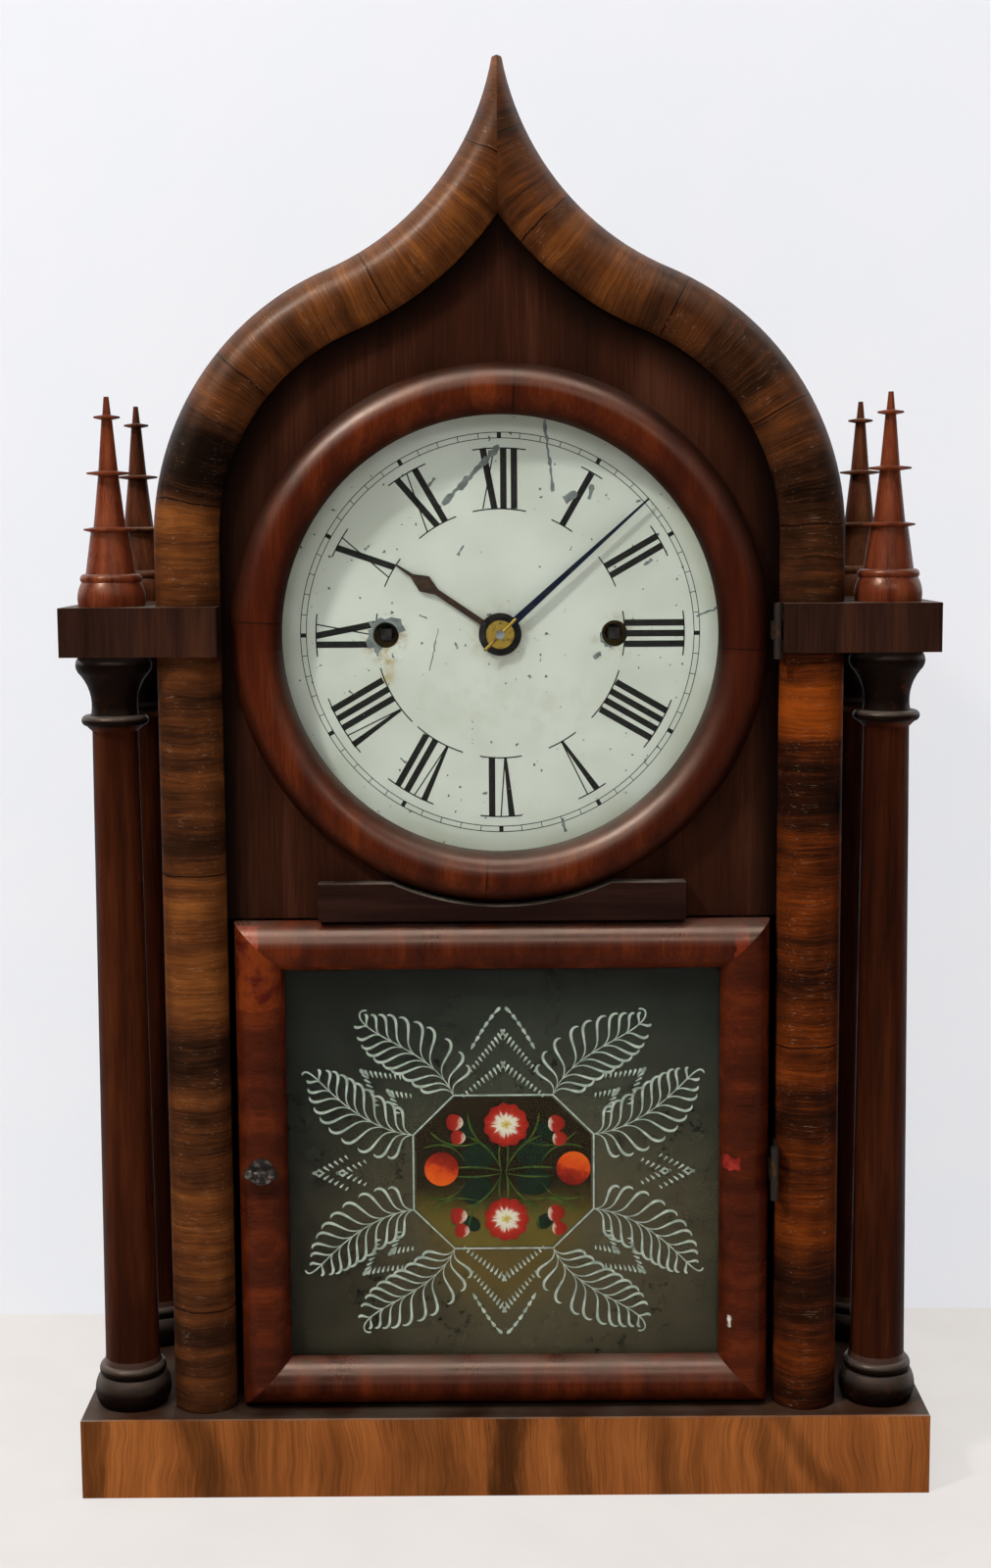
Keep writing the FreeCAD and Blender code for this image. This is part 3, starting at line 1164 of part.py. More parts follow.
def centre_arbor():
    """Arbor of the hands: the centre wheel turns it by friction, and it carries the cannon pinion."""
    radius, cannon = number("arbor_radius"), number("cannon_radius")
    pivot = disc(number("pivot_radius"), number("plate_thickness + end_shake"), number("-plate_thickness"))
    front, seat = number(FRONT_FACE), number(MINUTE_LEVEL)
    lift = number("cannon_lift")
    shaft = disc(radius, number(ARBOR_END) - number("end_shake"), number("end_shake"))
    pipe = disc(cannon, seat - front - lift, front + lift)
    phase = bearing("centre", "minute")
    leaves = toothed_face(round(number("cannon_teeth")), number("cannon_module"), LEAF_HEIGHT, phase)
    slant = math.radians(number("taper_pin_angle"))
    along = Vector(math.sin(slant), math.cos(slant), 0)
    start = along * -cannon + Vector(0, 0, number(TAPER_PIN_LEVEL))
    cross_hole = Part.makeCylinder(number("taper_pin_radius"), 2 * cannon, start, along)
    arbor = shaft.fuse(pivot).fuse(pipe).fuse(solid_of(leaves, number("wheel_thickness"), front + lift))
    return arbor.cut(cross_hole)


def escape_disc():
    """Escape wheel with long pointed teeth."""
    count, outer, depth = round(number("escape_teeth")), number("escape_radius"), number("escape_tooth")
    points = []
    root, tip = ESCAPE_ROOT_SHARE / 2, ESCAPE_TIP_SHARE / 2
    for tooth in range(count):
        for radius, share in ((outer - depth, -root), (outer, -tip), (outer, tip), (outer - depth, root)):
            angle = (tooth + share) * 2 * math.pi / count
            points.append(Vector(radius * math.cos(angle), radius * math.sin(angle), 0))
    level, thickness = number("escape_level"), number("wheel_thickness")
    wheel = solid_of(Part.makePolygon(points + points[:1]), thickness, level)
    window = disc(outer - depth - number("wheel_rim") / 2, thickness, level).cut(
        disc(number("wheel_hub"), thickness, level))
    for spoke in range(SPOKES // 2):
        arm = number("spoke_width")
        beam = Part.makeBox(2 * outer, arm, thickness, Vector(-outer, -arm / 2, level))
        beam.rotate(Vector(), Vector(0, 0, 1), 180 * spoke / (SPOKES // 2))
        window = window.cut(beam)
    return wheel.cut(window)


def build_pendulum():
    """Verge with its crutch, and the pendulum that it drives."""
    level, thickness = number("escape_level"), number("wheel_thickness")
    rise, inner = number("verge_rise"), number("escape_radius + verge_clearance")
    outer = inner + number("verge_thickness")
    spread = number("verge_spread")
    strip = Part.makeCylinder(outer, thickness, Vector(0, -rise, level), Vector(0, 0, 1), 2 * spread)
    strip.rotate(Vector(0, -rise, 0), Vector(0, 0, 1), 90 - spread)
    strip = strip.cut(disc(inner, thickness, level, 0, -rise))
    hub = disc(number("wheel_hub") / 2 + number("arbor_radius") / 2, thickness, level)
    plate, gap = number("plate_thickness"), number("crutch_gap")
    radius = number("arbor_radius")
    wide, long = number("crutch_width"), number("crutch_length")
    rear = -plate - gap - thickness
    front = number("plate_gap - end_shake")
    arbor = disc(radius, front - rear, rear)
    pivot = disc(number("pivot_radius"), number("plate_thickness + end_shake"), front)
    crutch = Part.makeBox(wide, long, thickness, Vector(-wide / 2, -long, rear))
    rod_level = number("-plate_thickness - rod_setback")
    slot = number("rod_radius + rod_clearance")
    foot_level = rod_level - slot - thickness
    foot = Part.makeBox(wide, wide, rear - foot_level, Vector(-wide / 2, -long, foot_level))
    fork = Part.makeBox(2 * slot, 3 * wide, 2 * slot, Vector(-slot, -long - wide, rod_level - slot))
    verge = strip.fuse(hub).fuse(arbor).fuse(pivot).fuse(crutch).fuse(foot).cut(fork)
    node("verge", feature("verge_strip", verge, "verge"))
    hang_pendulum()


def hang_pendulum():
    """Suspension cock, and the pendulum rod with its bob and rating nut."""
    pivot_z = f"(dial_height + {AXES['verge'][1]})"
    rod_y = f"({BACK_FACE_Y} + plate_thickness + rod_setback)"
    tail = "(pendulum_length + bob_radius + nut_height)"
    rod = cylinder("pendulum_wire", "rod_radius", tail, ("0", rod_y, f"{pivot_z} - {tail}"))
    node("pendulum_rod", rod)
    bob_z = f"({pivot_z} - pendulum_length)"
    swell = bow("2 * bob_radius", "(bob_thickness - bob_rim) / 2")
    lens = [
        ("0", "-bob_thickness / 2"),
        ("bob_radius", "-bob_rim / 2", swell, "ccw"),
        ("bob_radius", "bob_rim / 2"),
        ("0", "bob_thickness / 2", swell, "ccw"),
    ]
    disc_body = turned("bob_lens", lens, ("0", rod_y, bob_z), (1, 0, 0), "90")
    at = ("0", rod_y, f"{bob_z} - bob_radius")
    bore = cylinder("bob_bore", "rod_radius + pin_clearance", "2 * bob_radius", at)
    node("pendulum_bob", cut("bob", disc_body, [bore]))
    at = ("0", rod_y, f"{bob_z} - bob_radius - nut_height")
    nut = cylinder("nut_blank", "nut_radius", "nut_height", at)
    node("rating_nut", cut("nut", nut, [cylinder("nut_bore", "rod_radius", "nut_height", at)]))
    reach = "(rod_setback + rod_radius + rod_clearance)"
    at = ("-cock_width / 2", f"{BACK_FACE_Y} + plate_thickness", f"{pivot_z} + rod_clearance + arbor_radius")
    cock = box("cock_block", ("cock_width", reach, "cock_height"), at)
    post = box("cock_hook", ("2 * rod_radius", "2 * rod_radius", "arbor_radius"),
               ("-rod_radius", f"{rod_y} - rod_radius", f"{pivot_z} + rod_clearance"))
    node("suspension_cock", fuse("cock", [cock, post]))


def build_motion_work():
    """Minute wheel on its stud and hour wheel with its pipe."""
    thickness, clearance = number("wheel_thickness"), number("pivot_clearance")
    front = number(FRONT_FACE)
    level = front + number("cannon_lift")
    hour_level = front + number("hour_wheel_lift")
    bore = number("arbor_radius") + clearance
    teeth = round(number("minute_wheel_teeth"))
    phase = bearing("minute", "centre")
    wheel = plain_wheel(teeth, number("cannon_module"), thickness, level, bore, phase + 180.0 / teeth)
    leaves = round(number("minute_pinion_teeth"))
    pinion = solid_of(toothed_face(leaves, number(HOUR_MODULE), LEAF_HEIGHT, phase),
                      hour_level + thickness - level, level)
    pinion = pinion.cut(disc(bore, number("plate_gap"), front))
    node("minute_wheel", feature("minute_disc", wheel.fuse(pinion), "minute"))
    pipe_bore = number("cannon_radius") + clearance
    outer = number("hour_pipe_radius")
    teeth = round(number("hour_wheel_teeth"))
    phase = bearing("centre", "minute") + 180.0 / teeth
    wheel = plain_wheel(teeth, number(HOUR_MODULE), thickness, hour_level, pipe_bore, phase)
    pipe = disc(outer, number(HOUR_LEVEL) + number("hand_thickness") - hour_level, hour_level)
    bore = disc(pipe_bore, number("plate_gap"), front)
    node("hour_wheel", feature("hour_disc", wheel.fuse(pipe).cut(bore)))


def plain_wheel(teeth, module, thickness, level, bore, phase):
    """A motion-work wheel: a plain toothed disc with low teeth."""
    wheel = solid_of(toothed_face(teeth, module, LEAF_HEIGHT, phase), thickness, level)
    return wheel.cut(disc(bore, thickness, level))


def build_strike_train():
    """Pin wheel, warning wheel and fly, each with its arbor and lantern pinion, and the hammer."""
    hub = number("arbor_radius")
    thickness = number("wheel_thickness")
    start, end = mesh_span("great_level", "great_thickness")
    leaves = round(number("great_leaves"))
    pinion = lantern(leaves, number(GREAT_MODULE), start, end, bearing("pin", "strike"))
    teeth, module = round(number("centre_teeth")), number("centre_module")
    level = number("pin_level")
    wheel = crossed_wheel(teeth, module, thickness, level, hub, bearing("pin", "warning"))
    ring = module * teeth / 2 - number("lifting_pin_inset")
    count = round(number("lifting_pins"))
    for index in range(count):
        angle = 2 * math.pi * index / count
        pin = disc(number("lifting_pin_radius"), number("lifting_pin_length") + thickness, level,
                   ring * math.cos(angle), ring * math.sin(angle))
        wheel = wheel.fuse(pin)
    node("strike_pin_wheel", feature("pin_disc", pivoted_arbor(hub).fuse(pinion).fuse(wheel), "pin"))
    start, end = mesh_span("pin_level", "wheel_thickness")
    pinion = lantern(round(number("third_leaves")), module, start, end, bearing("warning", "pin"))
    teeth, module = round(number("warning_teeth")), number("warning_module")
    level = number("warning_level")
    wheel = crossed_wheel(teeth, module, thickness, level, hub, bearing("warning", "fly"))
    wheel = pivoted_arbor(hub).fuse(pinion).fuse(wheel)
    node("strike_warning_wheel", feature("warning_disc", wheel, "warning"))
    start, end = mesh_span("warning_level", "wheel_thickness")
    pinion = lantern(round(number("escape_leaves")), module, start, end, bearing("fly", "warning"))
    reach, thin, wide = number("fly_radius"), number("fly_thickness"), number("fly_width")
    blades = Part.makeBox(2 * reach, thin, wide, Vector(-reach, -thin / 2, number("fly_level")))
    slim = pivoted_arbor(number("slim_arbor_radius"))
    node("fly", feature("fly_blades", slim.fuse(pinion).fuse(blades), "fly"))
    build_hammer()


GONG_STEP = "(gong_pitch / 2)"
GONG_OUTER = f"(gong_inner_radius + {GONG_STEP} * gong_half_turns)"
GONG_X = f"(hammer_x - hammer_head_radius - hammer_gap - gong_wire_radius - {GONG_OUTER} + {GONG_STEP})"
HAMMER_Z = "(dial_height - hammer_drop)"


def build_hammer():
    """Hammer on its arbor, swinging behind the back plate, and the gong that it strikes."""
    hub, gap = number("arbor_radius"), number("plate_gap")
    shake, plate = number("end_shake"), number("plate_thickness")
    rear = number("-plate_thickness - hammer_setback")
    wire, drop = number("hammer_arm_radius"), number(f"{HAMMER_Z} - gong_height")
    arbor = disc(hub, gap - shake - rear, rear)
    pivot = disc(number("pivot_radius"), shake + plate, gap - shake)
    arm = Part.makeCylinder(wire, drop, Vector(0, 0, rear + wire), Vector(0, -1, 0))
    head_level = number("-plate_thickness - gong_setback - gong_wire_radius")
    head = disc(number("hammer_head_radius"), number("hammer_head_length"), head_level, 0, -drop)
    tail_level = number("pin_level + wheel_thickness")
    tail = Part.makeBox(number("hammer_tail"), 2 * wire, 2 * wire, Vector(0, -wire, tail_level))
    tail.rotate(Vector(), Vector(0, 0, 1), bearing("hammer", "pin"))
    node("hammer", feature("hammer_wire", arbor.fuse(pivot).fuse(arm).fuse(head).fuse(tail), "hammer"))
    build_gong()


def build_gong():
    """Coiled wire gong behind the pendulum, its outer end butted under a cast base on the backboard."""
    radius = number("gong_wire_radius")
    arcs = half_turn_arcs(number("gong_inner_radius"), number(GONG_STEP), round(number("gong_half_turns")))
    path = Part.Wire(arcs)
    begin = arcs[0].firstVertex(True).Point
    circle = Part.Wire([Part.makeCircle(radius, begin, Vector(0, 1, 0))])
    coil = path.makePipeShell([circle], True, False)
    gap_between = number("gong_pitch - 2 * gong_wire_radius")
    print(f"gong wire {path.Length:.1f} mm long, least gap between turns {gap_between:.2f} mm")
    gong = doc.addObject("Part::Feature", "gong_wire")
    gong.Shape = coil
    level = f"{BACK_FACE_Y} + plate_thickness + gong_setback"
    node("gong_coil", place(gong, (GONG_X, level, "gong_height"), (1, 0, 0), "90"))
    foot_x = f"{GONG_X} - {GONG_OUTER} + gong_foot_lug - gong_foot_width"
    front = f"{level} - 2 * gong_wire_radius"
    foot = box("gong_foot", ("gong_foot_width", f"case_back - ({front})", "gong_foot_height"),
               (foot_x, front, "gong_height"))
    node("gong_base", foot)


def blade(length, width, hub):
    """Right half of a plain tapering hand that points up, from its boss to its tip."""
    return [(f"{width} / 2", f"sqrt({hub}^2 - ({width})^2 / 4)"), ("hand_tip_width / 2", length)]


def hand(name, half, hub, bore, level, angle):
    """A hand cut from sheet to an outline given by its right half, bored and turned to its rest angle."""
    corners = half + mirrored(half)[::-1]
    blade_body = padded(f"{name}_blade", "XZ_Plane", corners, "hand_thickness")
    boss = bar_back(f"{name}_boss", hub, "hand_thickness", ("0", "-hand_thickness", "0"))
    hole = bar_back(f"{name}_bore", bore, "hand_thickness", ("0", "-hand_thickness", "0"))
    piece = cut(f"{name}_cut", fuse(f"{name}_plate", [blade_body, boss]), [hole])
    y = f"{BACK_FACE_Y} - {level}"
    node(name, place(piece, ("0", y, "dial_height"), (0, 1, 0), angle))


def build_dial_and_hands():
    """Painted dial plate, hour and minute hands, washer and taper pin."""
    back = "panel_thickness - case_front"
    plate = bar_back("dial_plate", "dial_radius", "dial_thickness", ("0", back, "dial_height"))
    holes = [bar_back("dial_centre_bore", "dial_centre_hole", "dial_thickness", ("0", back, "dial_height"))]
    for side, sign in SIDES:
        at = (f"{sign} * winding_spread", back, "dial_height")
        holes.append(bar_back(f"dial_winding_bore_{side}", "winding_hole", "dial_thickness", at))
    node("dial", cut("dial_bored", plate, holes))
    hour = blade("hour_hand_length", "hour_hand_width", "hour_hub_radius")
    swelling = [
        ("hour_hand_width / 2", "spade_from"),
        ("spade_width / 2", "(spade_from + spade_to) / 2"),
        ("hand_tip_width", "spade_to"),
    ]
    half = hour[:1] + swelling + hour[1:]
    bore = "hour_pipe_radius + pin_clearance"
    hand("hour_hand", half, "hour_hub_radius", bore, HOUR_LEVEL, "hour_angle")
    minute = blade("minute_hand_length", "minute_hand_width", "minute_hub_radius")
    hand("minute_hand", minute, "minute_hub_radius", "hand_arbor_radius", MINUTE_LEVEL, "minute_angle")
    level = f"{BACK_FACE_Y} - {WASHER_LEVEL} - washer_height"
    ring = bar_back("washer_blank", "washer_radius", "washer_height", ("0", level, "dial_height"))
    bore = bar_back("washer_bore", "hand_arbor_radius", "washer_height", ("0", level, "dial_height"))
    half = "taper_pin_length / 2"
    y = f"{BACK_FACE_Y} - {TAPER_PIN_LEVEL}"
    at = (f"-{half} * sin(taper_pin_angle)", y, f"dial_height - {half} * cos(taper_pin_angle)")
    pin = cylinder("taper_pin", "taper_pin_radius", "taper_pin_length", at, (0, 1, 0), "taper_pin_angle")
    node("hand_washer_and_pin", group("washer_and_pin", [cut("washer", ring, [bore]), pin]))


def check_and_write():
    """Proves every object sound, then writes one file for each sub-part."""
    doc.recompute()
    faults = [item.Label for item in doc.Objects if {"Invalid", "Error"} & set(item.State)]
    for item in nodes:
        if item.Shape.isNull() or not item.Shape.isValid() or not item.Shape.Solids:
            faults.append(item.Label)
    if faults:
        raise RuntimeError("unsound: " + ", ".join(faults))
    os.makedirs("parts", exist_ok=True)
    for item in nodes:
        item.Shape.exportStep(f"parts/{item.Label}.step")
    print(f"{len(nodes)} sub-parts written")


build_plinth()
build_case()
build_mouldings()
build_columns()
build_bezel()
build_tablet_door()
build_hinges()
build_plates()
build_power()
build_time_train()
build_pendulum()
build_motion_work()
build_strike_train()
build_dial_and_hands()
check_and_write()
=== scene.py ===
"""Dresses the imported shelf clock: woods, veneers, metals, glass, painted dial and tablet, and studio."""

import json
import logging
import math
import random
from dataclasses import dataclass, field
from enum import Enum
from typing import Optional, Protocol, Sequence, Union

import bpy
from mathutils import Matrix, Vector


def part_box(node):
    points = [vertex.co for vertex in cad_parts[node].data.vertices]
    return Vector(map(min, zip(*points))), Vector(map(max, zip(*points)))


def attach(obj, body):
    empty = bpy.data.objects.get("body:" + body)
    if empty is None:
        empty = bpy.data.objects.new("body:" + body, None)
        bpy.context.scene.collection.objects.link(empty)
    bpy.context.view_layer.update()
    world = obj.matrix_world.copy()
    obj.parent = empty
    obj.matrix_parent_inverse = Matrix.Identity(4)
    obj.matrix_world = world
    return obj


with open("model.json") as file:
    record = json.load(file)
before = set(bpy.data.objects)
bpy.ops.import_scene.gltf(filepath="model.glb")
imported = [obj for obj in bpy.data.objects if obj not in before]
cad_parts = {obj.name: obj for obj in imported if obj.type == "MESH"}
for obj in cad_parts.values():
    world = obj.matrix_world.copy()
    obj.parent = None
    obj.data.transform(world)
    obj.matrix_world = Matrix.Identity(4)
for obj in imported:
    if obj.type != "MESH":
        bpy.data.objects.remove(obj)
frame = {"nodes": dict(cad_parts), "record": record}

LOG = logging.getLogger("shelf_clock")
MM = 0.001
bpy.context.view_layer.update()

Socket = bpy.types.NodeSocket
Colour = tuple[float, float, float, float]
Feed = Union[Socket, float, Sequence[float]]
Flat = tuple[float, float]
Point = tuple[float, float, float]


def paint(code: str) -> Colour:
    """Turns a colour written as six hexadecimal digits into scene-linear values.

    Args:
        code: The colour as it should look on screen, such as "8a4b2c".

    Returns:
        Red, green, blue and an alpha of one.
    """
    shares = [int(code[i:i + 2], 16) / 255 for i in (0, 2, 4)]
    linear = [s / 12.92 if s <= 0.04045 else ((s + 0.055) / 1.055) ** 2.4 for s in shares]
    return linear[0], linear[1], linear[2], 1.0


class Span:
    """Where a CAD node lies at rest, in millimetres."""

    def __init__(self, node: str) -> None:
        """Reads the node's box from the frame.

        Args:
            node: The CAD node.
        """
        low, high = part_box(node)
        self.low = tuple(value / MM for value in low)
        self.high = tuple(value / MM for value in high)

    def middle(self, axis: int) -> float:
        """Half way along one axis."""
        return (self.low[axis] + self.high[axis]) / 2


class Nodes:
    """A tree of shader nodes, with short calls for arithmetic."""

    def __init__(self, tree: bpy.types.NodeTree) -> None:
        """Takes hold of a tree."""
        self.tree = tree

    def feed(self, socket: Socket, value: Feed) -> None:
        """Links a socket to another, or sets its number or colour.

        Args:
            socket: The input.
            value: The output that feeds it, or its value.
        """
        if isinstance(value, bpy.types.NodeSocket):
            self.tree.links.new(value, socket)
        else:
            socket.default_value = value

    def add(self, kind: str, inputs: Optional[dict] = None, **settings: object) -> bpy.types.Node:
        """Adds a node.

        Args:
            kind: The node's type without its "ShaderNode" prefix.
            inputs: Values or sockets by input name or number.
            settings: Properties of the node.

        Returns:
            The new node.
        """
        node = self.tree.nodes.new("ShaderNode" + kind)
        for key, value in settings.items():
            setattr(node, key, value)
        for key, value in (inputs or {}).items():
            self.feed(node.inputs[key], value)
        return node

    def maths(self, kind: str, first: Feed, second: Feed = 0.0, third: Feed = 0.0) -> Socket:
        """One step of arithmetic on numbers."""
        return self.add("Math", {0: first, 1: second, 2: third}, operation=kind).outputs[0]

    def plus(self, first: Feed, second: Feed) -> Socket:
        """The sum of two numbers."""
        return self.maths("ADD", first, second)

    def minus(self, first: Feed, second: Feed) -> Socket:
        """The first number less the second."""
        return self.maths("SUBTRACT", first, second)

    def times(self, first: Feed, second: Feed) -> Socket:
        """The product of two numbers."""
        return self.maths("MULTIPLY", first, second)

    def apart(self, first: Feed, second: Feed) -> Socket:
        """How far two numbers lie apart."""
        return self.maths("ABSOLUTE", self.minus(first, second))

    def hypot(self, first: Feed, second: Feed) -> Socket:
        """The long side of a right-angled triangle."""
        return self.maths("SQRT", self.plus(self.times(first, first), self.times(second, second)))

    def sway(self, noise: Socket, reach: float, base: Socket) -> Socket:
        """A number moved to both sides by a noise about one half."""
        return self.line(self.minus(noise, 0.5), reach, base)

    def line(self, value: Feed, slope: Feed, start: Feed) -> Socket:
        """A number times a slope, with a start added."""
        return self.maths("MULTIPLY_ADD", value, slope, start)


class Graph(Nodes):
    """The nodes of one material, with short calls for the few kinds that the finishes use."""

    def __init__(self, name: str) -> None:
        """Starts a material with its Principled shader.

        Args:
            name: The material's name.
        """
        self.material = bpy.data.materials.new(name)
        self.material.use_nodes = True
        super().__init__(self.material.node_tree)
        self.shader = self.tree.nodes["Principled BSDF"]

    def place(self) -> Socket:
        """The point on the piece, in millimetres of its own frame."""
        point = self.add("TexCoord").outputs["Object"]
        return self.add("VectorMath", {0: point, "Scale": 1 / MM}, operation="SCALE").outputs["Vector"]

    def parts(self, vector: Socket) -> tuple[Socket, Socket, Socket]:
        """The three components of a vector."""
        split = self.add("SeparateXYZ", {0: vector})
        return split.outputs[0], split.outputs[1], split.outputs[2]

    def vector(self, x: Feed, y: Feed, z: Feed) -> Socket:
        """A vector put together from three numbers."""
        return self.add("CombineXYZ", {0: x, 1: y, 2: z}).outputs[0]

    def stretch(self, vector: Socket, scale: Sequence[float], shift: Sequence[float] = (0, 0, 0)) -> Socket:
        """A vector scaled along each axis and then shifted."""
        return self.add("Mapping", {"Vector": vector, "Scale": scale, "Location": shift}).outputs[0]

    def length(self, vector: Socket) -> Socket:
        """The length of a vector."""
        return self.add("VectorMath", {0: vector}, operation="LENGTH").outputs["Value"]

    def distance(self, point: Socket, other: Sequence[float]) -> Socket:
        """How far two points lie apart."""
        return self.add("VectorMath", {0: point, 1: other}, operation="DISTANCE").outputs["Value"]

    def noise(self, vector: Socket, scale: float = 1.0, detail: float = 2.0, rough: float = 0.5,
              twist: float = 0.0) -> Socket:
        """Cloudy noise from about 0.2 to 0.8."""
        inputs = {"Vector": vector, "Scale": scale, "Detail": detail, "Roughness": rough, "Distortion": twist}
        return self.add("TexNoise", inputs).outputs["Fac"]

    def ease(self, value: Feed, start: float, end: float, low: float = 0.0, high: float = 1.0) -> Socket:
        """A smooth step from low to high while the value goes from start to end."""
        inputs = {"Value": value, "From Min": start, "From Max": end, "To Min": low, "To Max": high}
        return self.add("MapRange", inputs, interpolation_type="SMOOTHSTEP").outputs["Result"]

    def window(self, value: Feed, low: float, high: float, soft: float) -> Socket:
        """One between two limits and nothing outside them.

        Args:
            value: The number that is looked at.
            low: The lower limit.
            high: The upper limit.
            soft: How far each end fades to both sides of its limit.

        Returns:
            A number from nothing to one.
        """
        rising = self.ease(value, low - soft, low + soft)
        falling = self.ease(value, high - soft, high + soft, 1.0, 0.0)
        return self.times(rising, falling)

    def ramp(self, value: Socket, stops: Sequence[tuple[float, Colour]]) -> Socket:
        """A colour that runs through stops.

        Args:
            value: What the stops are placed along.
            stops: Places and colours, from the lowest place to the highest.

        Returns:
            The colour.
        """
        node = self.add("ValToRGB", {0: value})
        elements = node.color_ramp.elements
        while len(elements) < len(stops):
            elements.new(0.5)
        for element, (at, colour) in zip(elements, stops):
            element.position = at
            element.color = colour
        return node.outputs[0]

    def mix(self, share: Feed, first: Feed, second: Feed, kind: str = "MIX") -> Socket:
        """Two colours mixed.

        Args:
            share: How much of the second one there is.
            first: The first colour or number.
            second: The second colour or number.
            kind: Blender's name for the way they mix.

        Returns:
            The mixture.
        """
        node = self.add("Mix", data_type="RGBA", blend_type=kind)
        for index, value in ((0, share), (6, first), (7, second)):
            self.feed(node.inputs[index], value)
        return node.outputs[2]

    def rise(self) -> Socket:
        """How far the surface faces up, from minus one to one."""
        return self.parts(self.add("NewGeometry").outputs["Normal"])[2]

    def upward(self) -> Socket:
        """One on a level top and nothing on a wall."""
        return self.ease(self.rise(), 0.55, 0.98)

    def polish(self, most: float) -> Socket:
        """How much polish shows: little underneath and where seen edge-on.

        Args:
            most: The most that shows, on upper sides.

        Returns:
            The share of the polish.
        """
        over = self.ease(self.rise(), -0.02, 0.35, 0.06, 1.0)
        facing = self.add("LayerWeight", {"Blend": 0.5}).outputs["Facing"]
        return self.times(over, self.ease(facing, 0.5, 0.9, most, 0.1 * most))

    def bump(self, height: Socket, strength: float, depth: float) -> None:
        """Gives the shader relief.

        Args:
            height: What stands up and what lies low.
            strength: How strongly the relief shows.
            depth: The relief's depth in millimetres.
        """
        inputs = {"Height": height, "Strength": strength, "Distance": depth * MM}
        self.feed(self.shader.inputs["Normal"], self.add("Bump", inputs).outputs[0])

    def surface(self, **values: Feed) -> bpy.types.Material:
        """Sets inputs of the shader.

        Args:
            values: What goes into each input, its name with underscores for spaces.

        Returns:
            The material.
        """
        for name, value in values.items():
            self.feed(self.shader.inputs[name.replace("_", " ")], value)
        return self.material

    def either(self, share: Feed, first: bpy.types.Node, second: bpy.types.Node) -> bpy.types.Node:
        """A shader mixed from two others by the share of the second."""
        return self.add("MixShader", {0: share, 1: first.outputs[0], 2: second.outputs[0]})

    def show(self, shader: bpy.types.Node) -> bpy.types.Material:
        """Puts a shader in place of the Principled one.

        Args:
            shader: The node of the shader.

        Returns:
            The material.
        """
        self.feed(self.tree.nodes["Material Output"].inputs["Surface"], shader.outputs[0])
        return self.material


class Grain(Enum):
    """Which way the fibres of a board run."""

    SIDEWAYS = 0
    UPRIGHT = 2


DUST = "8d8172"
SHELLAC = "e6bf9c"


